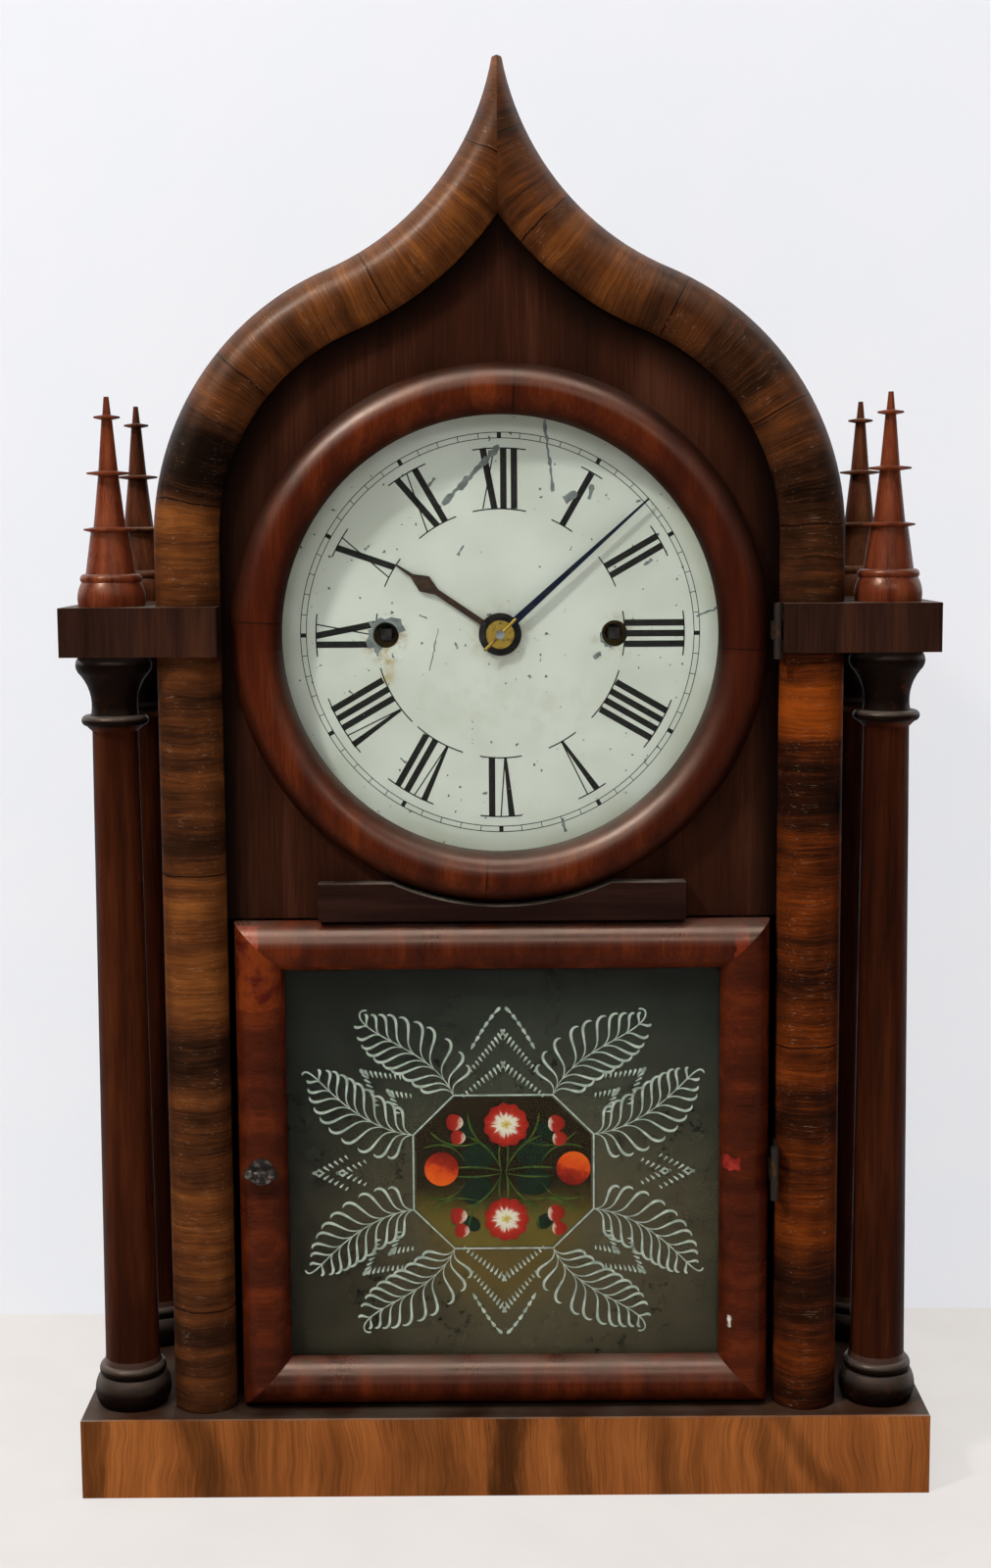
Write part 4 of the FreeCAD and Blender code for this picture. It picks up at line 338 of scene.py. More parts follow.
@dataclass(frozen=True)
class Wood:
    """A board or turned piece of stained and polished wood.

    Attributes:
        name: The material's name.
        tones: Dark, middle and light colours of the figure.
        grain: The way the fibres run.
        figure: Width of the broad streaks, in millimetres.
        fibre: Width of the fine fibres, in millimetres.
        roughness: How dull the polish is.
        coat: Share of the varnish coat.
        dust: Dust on its level tops.
        relief: Strength of the fibres' relief.
    """

    name: str
    tones: tuple[str, str, str]
    grain: Grain
    figure: float = 9.0
    fibre: float = 0.8
    roughness: float = 0.4
    coat: float = 0.2
    dust: float = 0.5
    relief: float = 0.25

    def streaks(self, graph: Graph, place: Socket, width: float, along: float, detail: float) -> Socket:
        """Noise drawn out along the grain.

        Args:
            graph: The material's nodes.
            place: The point in millimetres.
            width: Width of a streak across the grain.
            along: How much longer a streak is than it is wide.
            detail: Octaves of the noise.

        Returns:
            The noise.
        """
        scale = [1 / width] * 3
        scale[self.grain.value] /= along
        return graph.noise(graph.stretch(place, scale, (width, 3.7, 1.9)), 1.0, detail, 0.55, 0.25)

    def figured(self, graph: Graph, place: Socket) -> tuple[Socket, Socket]:
        """The figure of the clean wood.

        Args:
            graph: The material's nodes.
            place: The point in millimetres.

        Returns:
            The colour, and the fine fibres for the relief.
        """
        broad = self.streaks(graph, place, self.figure, 14.0, 3.0)
        fine = self.streaks(graph, place, self.fibre, 30.0, 2.0)
        cloud = graph.noise(place, 1 / 70.0, 2.0)
        tone = graph.line(broad, 0.55, graph.times(fine, 0.25))
        tone = graph.line(cloud, 0.2, tone)
        dark, middle, light = self.tones
        stops = ((0.33, paint(dark)), (0.5, paint(middle)), (0.66, paint(light)))
        return graph.ramp(tone, stops), fine

    def polished(self, graph: Graph, place: Socket, colour: Socket, fine: Socket) -> bpy.types.Material:
        """Adds dust, polish and relief to a colour.

        Args:
            graph: The material's nodes.
            place: The point in millimetres.
            colour: The clean wood.
            fine: The fibres.

        Returns:
            The finished material.
        """
        patch = graph.ease(graph.noise(place, 1 / 24.0, 4.0), 0.3, 0.7)
        share = graph.times(graph.upward(), graph.times(patch, self.dust))
        colour = graph.mix(share, colour, paint(DUST))
        worn = graph.ease(graph.noise(place, 1 / 22.0, 3.0), 0.3, 0.75, -0.09, 0.12)
        rough = graph.plus(graph.line(fine, 0.12, self.roughness - 0.06), worn)
        graph.bump(fine, self.relief, 0.25)
        gloss, coat = graph.polish(0.35 + 0.65 * self.coat), graph.polish(0.4 * self.coat)
        graph.surface(Coat_Weight=coat, Coat_Roughness=0.36, Coat_IOR=1.7)
        return graph.surface(Base_Color=colour, Roughness=rough, Specular_IOR_Level=gloss,
                             Specular_Tint=paint(SHELLAC))

    def marked(self, graph: Graph, place: Socket, colour: Socket) -> Socket:
        """The clean wood, with no marks of its own."""
        return colour

    def make(self) -> bpy.types.Material:
        """Builds the material.

        Returns:
            The material.
        """
        graph = Graph(self.name)
        place = graph.place()
        colour, fine = self.figured(graph, place)
        return self.polished(graph, place, self.marked(graph, place, colour), fine)


@dataclass(frozen=True)
class TurnedWood(Wood):
    """Wood turned on the lathe, with ebonised bands between heights where it has any.

    Attributes:
        bands: Lower and upper heights of the ebonised bands, in millimetres.
        black: Colour of the bands.
        settled_dust_and_highlight: Colour of dust and painted highlight on upper sides where there are bands.
    """

    bands: tuple[tuple[float, float], ...] = ()
    black: str = "130b08"
    settled_dust_and_highlight: str = "5a4e47"

    def marked(self, graph: Graph, place: Socket, colour: Socket) -> Socket:
        """Blackens the bands and lays dust with a painted highlight on what faces up.

        Args:
            graph: The material's nodes.
            place: The point in millimetres.
            colour: The clean wood.

        Returns:
            The marked wood.
        """
        height = graph.parts(place)[2]
        rub = graph.ease(graph.noise(place, 1 / 6.0, 4.0, 0.65), 0.56, 0.72, 1.0, 0.25)
        for low, high in self.bands:
            share = graph.times(graph.window(height, low, high, 0.35), rub)
            colour = graph.mix(share, colour, paint(self.black))
        if self.bands:
            # Dust and painted highlight: upward faces turn lighter.
            dust_and_highlight_share = graph.ease(graph.rise(), 0.05, 0.7, 0.0, 0.6)
            colour = graph.mix(dust_and_highlight_share, colour, paint(self.settled_dust_and_highlight))
        return colour


@dataclass(frozen=True)
class Flake:
    """A patch where the polish has flaked off down to raw wood, in millimetres of x and z.

    Attributes:
        left: Its left side.
        right: Its right side.
        bottom: Its lower side.
        top: Its upper side.
        colour: The raw wood.
        edge: Colour of the old polish at its rim.
    """

    left: float
    right: float
    bottom: float
    top: float
    colour: str
    edge: str = "4a130c"


@dataclass(frozen=True)
class DoorWood(Wood):
    """Cross-grained half-round of a door, with raw patches where its polish has flaked off.

    Attributes:
        flakes: The raw patches.
        behind: Depth behind which the polish is whole, in millimetres of y.
    """

    flakes: tuple[Flake, ...] = ()
    behind: float = 0.0

    def marked(self, graph: Graph, place: Socket, colour: Socket) -> Socket:
        """Bares the raw patches on the front.

        Args:
            graph: The material's nodes.
            place: The point in millimetres.
            colour: The clean wood.

        Returns:
            The marked wood.
        """
        ragged = graph.ease(graph.noise(place, 1 / 5.0, 3.0), 0.25, 0.75, -1.1, 1.1)
        x, y, z = graph.parts(place)
        front = graph.ease(y, self.behind - 0.5, self.behind, 1.0, 0.0)
        x = graph.plus(x, ragged)
        z = graph.minus(z, ragged)
        blotch = graph.ease(graph.noise(place, 1 / 7.0, 3.0, 0.6), 0.4, 0.66)
        for flake in self.flakes:
            share = graph.times(graph.window(x, flake.left, flake.right, 0.3),
                                graph.window(z, flake.bottom, flake.top, 0.3))
            raw = graph.mix(blotch, paint(flake.colour), paint(flake.edge))
            colour = graph.mix(graph.times(share, front), colour, raw)
        return colour


@dataclass(frozen=True)
class RingWood(Wood):
    """The bezel's glued-up ring: its joints show as thin dark lines.

    Attributes:
        centre: Middle of the ring, x and z in millimetres.
        turn: How far the joints are turned, in degrees.
        crest: Radius of the half-round's crest, from which painted shade darkens to both sides.
    """

    centre: Flat = (0.0, 311.0)
    turn: float = 3.5
    crest: float = 85.0

    def marked(self, graph: Graph, place: Socket, colour: Socket) -> Socket:
        """Draws the joints, tones the segments, and darkens the right side and both flanks of the crest as
        painted shade.

        Args:
            graph: The material's nodes.
            place: The point in millimetres.
            colour: The clean wood.

        Returns:
            The marked wood.
        """
        x, _, z = graph.parts(place)
        x = graph.minus(x, self.centre[0])
        z = graph.minus(z, self.centre[1])
        angle = math.radians(self.turn)
        along = graph.line(x, math.cos(angle), graph.times(z, -math.sin(angle)))
        across = graph.line(x, math.sin(angle), graph.times(z, math.cos(angle)))
        near = graph.maths("MINIMUM", graph.maths("ABSOLUTE", along), graph.maths("ABSOLUTE", across))
        joint = graph.ease(near, 0.1, 0.45, 0.85, 0.0)
        quarter = graph.times(graph.ease(along, -0.1, 0.1, -1, 1), graph.ease(across, -0.1, 0.1, -1, 1))
        # The segments differ in their own tone; the darkening towards the right is painted shade.
        shade = graph.plus(graph.ease(quarter, -1.0, 1.0, 0.0, 0.18), graph.ease(along, 20.0, 90.0, 0.0, 0.5))
        colour = graph.mix(shade, colour, paint("2a0d07"))
        # Painted shade on both flanks of the half-round, away from its crest.
        off = graph.apart(graph.length(graph.vector(x, 0.0, z)), self.crest)
        colour = graph.mix(graph.ease(off, 3.5, 9.0, 0.0, 0.8), colour, paint("140804"))
        return graph.mix(joint, colour, paint("120806"))


class Run(Enum):
    """The line along which a cross-banded veneer is laid."""

    UPRIGHT = 0
    ARCH = 1


@dataclass(frozen=True)
class Ogee:
    """The arch's curve, in millimetres: shoulder arc, then the hollow neck arc.

    Attributes:
        spring: Height where the curve starts.
        shoulder_x: Centre of the shoulder arc, sideways.
        shoulder: Radius of the shoulder at the moulding's middle.
        neck_x: Centre of the neck arc, sideways.
        neck_z: Centre of the neck arc, height.
        neck: Radius of the neck at the moulding's middle.
    """

    spring: float = 345.0
    shoulder_x: float = 21.0
    shoulder: float = 88.7
    neck_x: float = 95.7
    neck_z: float = 525.9
    neck: float = 107.0

    def away(self, graph: Graph, x: Socket, z: Socket) -> Socket:
        """Distance from the moulding's middle line, on the inner side of the arch.

        Args:
            graph: The material's nodes.
            x: Place sideways, in millimetres.
            z: Height, in millimetres.

        Returns:
            The distance in millimetres.
        """
        side = graph.maths("ABSOLUTE", x)
        up = graph.maths("MAXIMUM", graph.minus(z, self.spring), 0.0)
        out = graph.minus(side, self.shoulder_x)
        drop = graph.minus(self.neck_z, z)
        lower = graph.minus(self.shoulder, graph.hypot(out, up))
        over = graph.minus(self.neck_x, side)
        upper = graph.minus(graph.hypot(over, drop), self.neck)
        turn = math.atan2(self.neck_z - self.spring, self.neck_x - self.shoulder_x)
        share = graph.maths("GREATER_THAN", graph.maths("ARCTAN2", up, out), turn)
        return graph.mix(share, lower, upper)

    def length(self, graph: Graph, x: Socket, z: Socket) -> Socket:
        """Distance along the moulding from the spring of the arch.

        Args:
            graph: The material's nodes.
            x: Place sideways, in millimetres.
            z: Height, in millimetres.

        Returns:
            The distance in millimetres.
        """
        side = graph.maths("ABSOLUTE", x)
        up = graph.minus(z, self.spring)
        angle = graph.maths("ARCTAN2", up, graph.minus(side, self.shoulder_x))
        turn = math.atan2(self.neck_z - self.spring, self.neck_x - self.shoulder_x)
        lower = graph.times(graph.maths("MAXIMUM", angle, 0.0), self.shoulder)
        drop = graph.minus(self.neck_z, z)
        swing = graph.maths("ARCTAN2", drop, graph.minus(self.neck_x, side))
        back = graph.minus(turn, swing)
        upper = graph.line(back, self.neck, turn * self.shoulder)
        bent = graph.mix(graph.maths("GREATER_THAN", angle, turn), lower, upper)
        return graph.plus(bent, graph.maths("MINIMUM", up, 0.0))


@dataclass(frozen=True)
class PanelWood(Wood):
    """The board behind the mouldings, with painted shade along them.

    Attributes:
        arch: The arch's curve.
        half: Half width of the moulding.
        reach: How far the painted shade spreads from the moulding, in millimetres.
    """

    arch: Ogee = Ogee()
    half: float = 11.3
    reach: float = 15.0

    def marked(self, graph: Graph, place: Socket, colour: Socket) -> Socket:
        """Darkens the wood along the mouldings as painted shade.

        Args:
            graph: The material's nodes.
            place: The point in millimetres.
            colour: The clean wood.

        Returns:
            The marked wood.
        """
        x, _, z = graph.parts(place)
        # Painted shade: near black along the arch moulding's inner side, fading out over reach.
        off = graph.minus(self.arch.away(graph, x, z), self.half)
        share = graph.ease(off, 0.0, self.reach, 0.92, 0.0)
        return graph.mix(share, colour, paint("070403"))


@dataclass(frozen=True)
class Streak:
    """A dark run in the figure of a board, in millimetres.

    Attributes:
        middle: Its place along x.
        half: Half of its width.
        slant: How far it leans for each millimetre of height.
        depth: How dark it is.
    """

    middle: float
    half: float
    slant: float
    depth: float


@dataclass(frozen=True)
class PlinthWood(Wood):
    """Wild figured veneer with dark runs that waver.

    Attributes:
        streaks_at: The dark runs.
    """

    streaks_at: tuple[Streak, ...] = ()

    def make(self) -> bpy.types.Material:
        """Builds the material.

        Returns:
            The material.
        """
        graph = Graph(self.name)
        place = graph.place()
        bend = graph.noise(graph.stretch(place, (1 / 40.0,) * 3), 1.0, 2.0, 0.5)
        x, y, z = graph.parts(place)
        x = graph.sway(bend, 13.0, x)
        colour, fine = self.figured(graph, graph.vector(x, y, z))
        ragged = graph.noise(graph.stretch(place, (1 / 3.0, 1 / 3.0, 1 / 14.0)), 1.0, 4.0, 0.65)
        lines = graph.noise(graph.stretch(graph.vector(x, y, z), (1 / 0.8, 1 / 0.8, 1 / 24.0)), 1.0, 3.0, 0.6)
        colour = graph.mix(graph.ease(lines, 0.45, 0.7, 0.0, 0.35), colour, paint("4a2913"))
        for streak in self.streaks_at:
            lean = graph.line(z, streak.slant, x)
            off = graph.apart(lean, streak.middle)
            off = graph.sway(ragged, 1.6 * streak.half, off)
            share = graph.ease(off, 0.2 * streak.half, 1.3 * streak.half, streak.depth, 0.0)
            colour = graph.mix(share, colour, paint("1d100a"))
        return self.polished(graph, place, colour, fine)


@dataclass(frozen=True)
class Veneer:
    """Sawn veneer laid with its fibres across a half-round moulding.

    Attributes:
        name: The material's name.
        tones: Four colours from the darkest band to the lightest.
        run: The line along which it is laid.
        seed: Shifts the figure, so that pieces differ.
        course: Places along the run, in millimetres, with the lightness there: the wood's own tone, raised in
            places as painted sheen.
        seams: Places of the joints between leaves, in millimetres.
    """

    name: str
    tones: tuple[str, str, str, str]
    run: Run
    seed: float
    course: tuple[Flat, ...]
    seams: tuple[float, ...]

    def lightness(self, graph: Graph, along: Socket) -> Socket:
        """The planned lightness at a place along the run.

        Args:
            graph: The material's nodes.
            along: The place in millimetres.

        Returns:
            The lightness as a grey.
        """
        low, high = self.course[0][0], self.course[-1][0]
        share = graph.add("MapRange", {"Value": along, "From Min": low, "From Max": high}).outputs["Result"]
        stops = [((at - low) / (high - low), (tone, tone, tone, 1.0)) for at, tone in self.course]
        return graph.ramp(share, stops)

    def make(self) -> bpy.types.Material:
        """Builds the material.

        Returns:
            The material.
        """
        graph = Graph(self.name)
        place = graph.place()
        x, y, z = graph.parts(place)
        along = Ogee().length(graph, x, z) if self.run is Run.ARCH else z
        waver = graph.noise(place, 1 / 14.0, 2.0)
        along = graph.sway(waver, 2.6, along)
        lane = graph.vector(along, graph.times(x, 0.04), graph.line(y, 0.04, self.seed))
        bands = graph.noise(lane, 1 / 6.0, 4.0, 0.62)
        fine = graph.noise(lane, 1 / 0.8, 4.0, 0.75)
        cloud = graph.noise(place, 1 / 11.0, 3.0)
        tone = graph.sway(bands, 0.95, self.lightness(graph, along))
        tone = graph.sway(fine, 0.85, tone)
        tone = graph.sway(cloud, 0.45, tone)
        colour = graph.ramp(tone, list(zip((0.08, 0.36, 0.64, 0.95), map(paint, self.tones))))
        gap = graph.times(graph.ease(bands, 0.69, 0.74), graph.ease(cloud, 0.52, 0.6, 0.0, 0.8))
        for seam in self.seams:
            off = graph.apart(along, seam)
            gap = graph.maths("MAXIMUM", gap, graph.ease(off, 0.1, 0.42, 0.9, 0.0))
        colour = graph.mix(gap, colour, paint("0d0604"))
        fibres = graph.vector(graph.times(along, 2.2), graph.times(x, 0.16), y)
        pores = graph.noise(fibres, 1.0, 1.0)
        packed = graph.times(graph.ease(pores, 0.66, 0.72, 0.0, 0.3), graph.ease(cloud, 0.4, 0.6))
        colour = graph.mix(packed, colour, paint("9a8874"))
        dusty = graph.ease(graph.noise(place, 1 / 4.0, 4.0, 0.7), 0.5, 0.68, 0.0, 0.4)
        colour = graph.mix(graph.times(graph.upward(), dusty), colour, paint(DUST))
        rough = graph.line(fine, 0.35, 0.26)
        graph.bump(graph.line(gap, -2.0, fine), 0.55, 0.3)
        return graph.surface(Base_Color=colour, Roughness=rough, Specular_IOR_Level=graph.polish(0.45),
                             Specular_Tint=paint(SHELLAC), Coat_Weight=graph.polish(0.12), Coat_Roughness=0.3)


@dataclass(frozen=True)
class Metal:
    """Metal with a tarnish that lies in patches.

    Attributes:
        name: The material's name.
        bright: Colour of the clean metal.
        dull: Colour of the tarnish.
        cover: Share of the surface that is tarnished.
        roughness: How dull the clean metal is.
        patch: Size of the patches, in millimetres.
    """

    name: str
    bright: str
    dull: str
    cover: float = 0.5
    roughness: float = 0.3
    patch: float = 6.0

    def toned(self, graph: Graph, place: Socket, colour: Socket) -> Socket:
        """The metal's own colour, the same all over."""
        return colour

    def make(self) -> bpy.types.Material:
        """Builds the material.

        Returns:
            The material.
        """
        graph = Graph(self.name)
        place = graph.place()
        cloud = graph.noise(place, 1 / self.patch, 4.0, 0.6)
        limit = 0.68 - 0.36 * self.cover
        share = graph.ease(cloud, limit - 0.08, limit + 0.08)
        colour = self.toned(graph, place, graph.mix(share, paint(self.bright), paint(self.dull)))
        grit = graph.noise(place, 1 / 0.6, 3.0)
        dulled = graph.ease(cloud, limit - 0.1, limit + 0.1, self.roughness, self.roughness + 0.3)
        rough = graph.plus(dulled, graph.line(grit, 0.12, -0.06))
        metal = graph.ease(cloud, limit - 0.08, limit + 0.12, 1.0, 0.45)
        graph.bump(grit, 0.12, 0.1)
        return graph.surface(Base_Color=colour, Roughness=rough, Metallic=metal)


@dataclass(frozen=True)
class HandMetal(Metal):
    """Rusty metal of a hand whose boss is blacker than its stem.

    Attributes:
        axis: Middle of the boss, in millimetres of x and z.
        reach: How far the black reaches from there, in millimetres.
        boss: Colour of the boss.
    """

    axis: Flat = (0.0, 0.0)
    reach: float = 1.0
    boss: str = "1c1917"

    def toned(self, graph: Graph, place: Socket, colour: Socket) -> Socket:
        """Blackens the boss.

        Args:
            graph: The material's nodes.
            place: The point in millimetres.
            colour: The rusty metal.

        Returns:
            The colour of the whole hand.
        """
        x, _, z = graph.parts(place)
        away = graph.distance(graph.vector(x, 0.0, z), (self.axis[0], 0.0, self.axis[1]))
        return graph.mix(graph.ease(away, self.reach - 0.5, self.reach + 0.7), paint(self.boss), colour)


@dataclass(frozen=True)
class Glass:
    """Old window glass, faintly wavy, that lets lamps through.

    Attributes:
        name: The material's name.
        tint: Colour of what passes.
        wave: Strength of its unevenness.
        index: How strongly it bends and mirrors light.
    """

    name: str
    tint: str
    wave: float = 0.03
    index: float = 1.45

    def make(self) -> bpy.types.Material:
        """Builds the material.

        Returns:
            The material.
        """
        graph = Graph(self.name)
        graph.bump(graph.noise(graph.place(), 1 / 18.0, 1.0), self.wave, 0.6)
        graph.surface(Base_Color=paint(self.tint), Roughness=0.03, Transmission_Weight=1.0, IOR=self.index)
        shadow = graph.add("LightPath").outputs["Is Shadow Ray"]
        clear = graph.add("BsdfTransparent", {"Color": paint(self.tint)})
        return graph.show(graph.either(shadow, graph.shader, clear))


@dataclass(frozen=True)
class Paint:
    """Thin oil paint with brushed unevenness and small bare specks.

    Attributes:
        name: The material's name.
        colour: The paint.
        second: What it fades towards.
        worn: Colour that shows in the specks.
        loss: Share of specks.
        roughness: How dull the paint is.
    """

    name: str
    colour: str
    second: str
    worn: str
    loss: float = 0.1
    roughness: float = 0.5

    def make(self) -> bpy.types.Material:
        """Builds the material.

        Returns:
            The material.
        """
        graph = Graph(self.name)
        place = graph.place()
        brush = graph.ease(graph.noise(place, 1 / 3.0, 3.0), 0.35, 0.65)
        colour = graph.mix(brush, paint(self.colour), paint(self.second))
        speck = graph.noise(place, 1 / 0.9, 3.0, 0.65)
        share = graph.ease(speck, 0.72 - 0.25 * self.loss, 0.76 - 0.25 * self.loss)
        colour = graph.mix(share, colour, paint(self.worn))
        graph.bump(speck, 0.15, 0.05)
        return graph.surface(Base_Color=colour, Roughness=self.roughness, Specular_IOR_Level=0.15)


@dataclass(frozen=True)
class DialPaint:
    """Aged white paint of the dial, with rust about the holes and yellowing towards the rim.

    Attributes:
        centre: Middle of the dial, x and z in millimetres.
        holes: Distance of the winding holes from the middle.
        depth: The dial's place in the case, in millimetres of y.
    """

    centre: Flat
    holes: float
    depth: float = -28.0

    def make(self) -> bpy.types.Material:
        """Builds the material.

        Returns:
            The material.
        """
        graph = Graph("dial_paint")
        place = graph.place()
        cloud = graph.noise(place, 1 / 30.0, 3.0)
        colour = graph.mix(graph.ease(cloud, 0.3, 0.7), paint("d2d6cc"), paint("c5c9bd"))
        blot = graph.noise(place, 1 / 5.0, 4.0, 0.65)
        middle, height = self.centre
        for sign, strength in ((-1, 0.75), (1, 0.4)):
            away = graph.distance(place, (middle + sign * self.holes, self.depth, height - 1.5))
            ring = graph.times(graph.ease(away, 4.5, 11.0, strength, 0.0), graph.ease(blot, 0.42, 0.62))
            colour = graph.mix(ring, colour, paint("8f6f3a"))
        x, _, z = graph.parts(place)
        ran = graph.window(x, middle - self.holes - 1.5, middle - self.holes + 2.5, 1.6)
        ran = graph.times(ran, graph.window(z, height - 17.0, height - 4.0, 2.5))
        ran = graph.times(ran, graph.ease(blot, 0.38, 0.6, 0.1, 0.75))
        colour = graph.mix(ran, colour, paint("a98f4e"))
        away = graph.distance(place, (middle, self.depth, height))
        stain = graph.times(graph.ease(away, 8.0, 15.0, 0.35, 0.0), graph.ease(blot, 0.4, 0.7))
        colour = graph.mix(stain, colour, paint("9a8a5c"))
        rim = graph.times(graph.ease(away, 66.0, 80.0, 0.0, 0.4), graph.ease(cloud, 0.3, 0.6))
        colour = graph.mix(rim, colour, paint("b4b494"))
        low = graph.window(z, height - 36, height - 16, 7.0)
        low = graph.times(low, graph.window(x, -30.0, 34.0, 8.0))
        smoke = graph.times(low, graph.ease(blot, 0.42, 0.72, 0.0, 0.16))
        colour = graph.mix(smoke, colour, paint("a49a72"))
        fleck = graph.ease(graph.noise(place, 1 / 2.2, 2.0, 0.4), 0.735, 0.75)
        colour = graph.mix(fleck, colour, paint("565a58"))
        grain = graph.noise(place, 1 / 0.5, 2.0)
        graph.bump(graph.line(fleck, -1.5, grain), 0.12, 0.08)
        return graph.surface(Base_Color=colour, Roughness=0.42, Coat_Weight=0.15, Coat_Roughness=0.3)


@dataclass(frozen=True)
class Glow:
    """Paint shaded from the middle of its own piece outwards, or from one side to the other.

    Attributes:
        name: The material's name.
        stops: Colours from the inside, or the low side, to the other end.
        reach: Distance over which they run, in millimetres.
        slant: Direction of the shading in x and z, or nothing for rings.
    """

    name: str
    stops: tuple[tuple[float, str], ...]
    reach: float
    slant: Optional[Flat] = None

    def make(self) -> bpy.types.Material:
        """Builds the material.

        Returns:
            The material.
        """
        graph = Graph(self.name)
        place = graph.place()
        x, _, z = graph.parts(place)
        if self.slant is None:
            away = graph.length(graph.vector(x, 0.0, z))
            angle = graph.maths("ARCTAN2", z, x)
            round_it = graph.vector(graph.times(angle, 2.4), graph.times(away, 0.1), 0.0)
            petals = graph.noise(round_it, 1.6, 2.0)
            away = graph.plus(away, graph.ease(petals, 0.3, 0.7, -0.12 * self.reach, 0.12 * self.reach))
            share = graph.maths("DIVIDE", away, self.reach)
        else:
            side = graph.line(x, self.slant[0], graph.times(z, self.slant[1]))
            share = graph.line(side, 0.5 / self.reach, 0.5)
            share = graph.plus(share, graph.ease(graph.noise(place, 1 / 2.5, 3.0), 0.3, 0.7, -0.1, 0.1))
        colour = graph.ramp(share, [(at, paint(code)) for at, code in self.stops])
        return graph.surface(Base_Color=colour, Roughness=0.5, Specular_IOR_Level=0.15)


@dataclass(frozen=True)
class Film:
    """A thin coat of colour on glass that can be seen through.

    Attributes:
        name: The material's name.
        colour: The coat.
        foot: Its colour at the lower end, lighter and warmer as a painted glow of the brass bob behind.
        cover: How much it hides.
    """

    name: str
    colour: str
    foot: str
    cover: float

    def make(self) -> bpy.types.Material:
        """Builds the material.

        Returns:
            The material.
        """
        graph = Graph(self.name)
        place = graph.place()
        cloud = graph.noise(place, 1 / 8.0, 4.0, 0.6)
        # Painted glow of the bob behind: the colour turns to the lighter foot towards the lower end.
        height = graph.line(cloud, 16.0, graph.parts(place)[2])
        colour = graph.mix(graph.ease(height, -13.0, 5.0), paint(self.foot), paint(self.colour))
        alpha = graph.ease(cloud, 0.3, 0.7, self.cover - 0.12, self.cover + 0.12)
        return graph.surface(Base_Color=colour, Roughness=0.6, Specular_IOR_Level=0.1, Alpha=alpha)


@dataclass(frozen=True)
class Grime:
    """Thinned backing on old glass: it hides most of what lies behind, with dark spots where damp got in, a
    painted glow of the bob behind, and darker towards its rim.

    Attributes:
        name: The material's name.
        colour: The backing where it is lightest.
        spot: Colour of the spots.
        cover: How much it hides.
        clear: The lightest place, from which it darkens towards the rim, x and z in millimetres of the piece.
    """

    name: str
    colour: str
    spot: str
    cover: float
    clear: Flat = (14.0, -20.0)

    def make(self) -> bpy.types.Material:
        """Builds the material.

        Returns:
            The material.
        """
        graph = Graph(self.name)
        place = graph.place()
        z = graph.parts(place)[2]
        cloud = graph.noise(place, 1 / 28.0, 4.0, 0.6)
        off = graph.distance(place, (self.clear[0], 0.0, self.clear[1]))
        shade = graph.ease(graph.sway(cloud, 80.0, off), 15.0, 114.0)
        blot = graph.ease(graph.noise(place, 1 / 5.0, 6.0, 0.78), 0.53, 0.6)
        patch = graph.ease(graph.noise(place, 1 / 30.0, 2.0, 0.5), 0.42, 0.58)
        damp = graph.ease(shade, 0.08, 0.45, 0.2, 0.95)
        spots = graph.times(graph.times(blot, patch), damp)
        light = graph.mix(graph.ease(z, -25.0, 55.0), paint(self.colour), paint("4b5047"))
        dark = graph.mix(graph.ease(z, -60.0, 30.0), paint("1c1710"), paint("1a1c18"))
        dim = graph.mix(shade, light, dark)
        # Painted glow of the brass bob behind the glass: warmer and lighter about its place.
        away = graph.distance(place, (0.0, 0.0, -28.0))
        painted_bob_glow_falloff = graph.ease(away, 14.0, 36.0, 0.9, 0.0)
        glow = graph.times(painted_bob_glow_falloff, graph.ease(cloud, 0.3, 0.55, 0.6, 1.0))
        dim = graph.mix(glow, dim, paint("6a5729"))
        colour = graph.mix(spots, dim, paint(self.spot))
        veil = graph.ease(cloud, 0.3, 0.7, self.cover - 0.1, self.cover + 0.1)
        alpha = graph.maths("MAXIMUM", veil, graph.times(spots, 0.92))
        return graph.surface(Base_Color=colour, Roughness=0.6, Specular_IOR_Level=0.1, Alpha=alpha)


@dataclass(frozen=True)
class Paper:
    """Old blank paper, blotched and spotted with damp.

    Attributes:
        name: The material's name.
        clean: Colour of the better parts.
        stain: Colour of the blotches.
    """

    name: str
    clean: str
    stain: str

    def make(self) -> bpy.types.Material:
        """Builds the material.

        Returns:
            The material.
        """
        graph = Graph(self.name)
        place = graph.place()
        damp = graph.noise(place, 1 / 26.0, 5.0, 0.65)
        colour = graph.mix(graph.ease(damp, 0.42, 0.66), paint(self.clean), paint(self.stain))
        spots = graph.ease(graph.noise(place, 1 / 12.0, 3.0, 0.6), 0.56, 0.72, 0.0, 0.8)
        colour = graph.mix(spots, colour, paint("15140f"))
        fibres = graph.noise(place, 1 / 0.8, 3.0)
        graph.bump(fibres, 0.2, 0.1)
        return graph.surface(Base_Color=colour, Roughness=0.85)


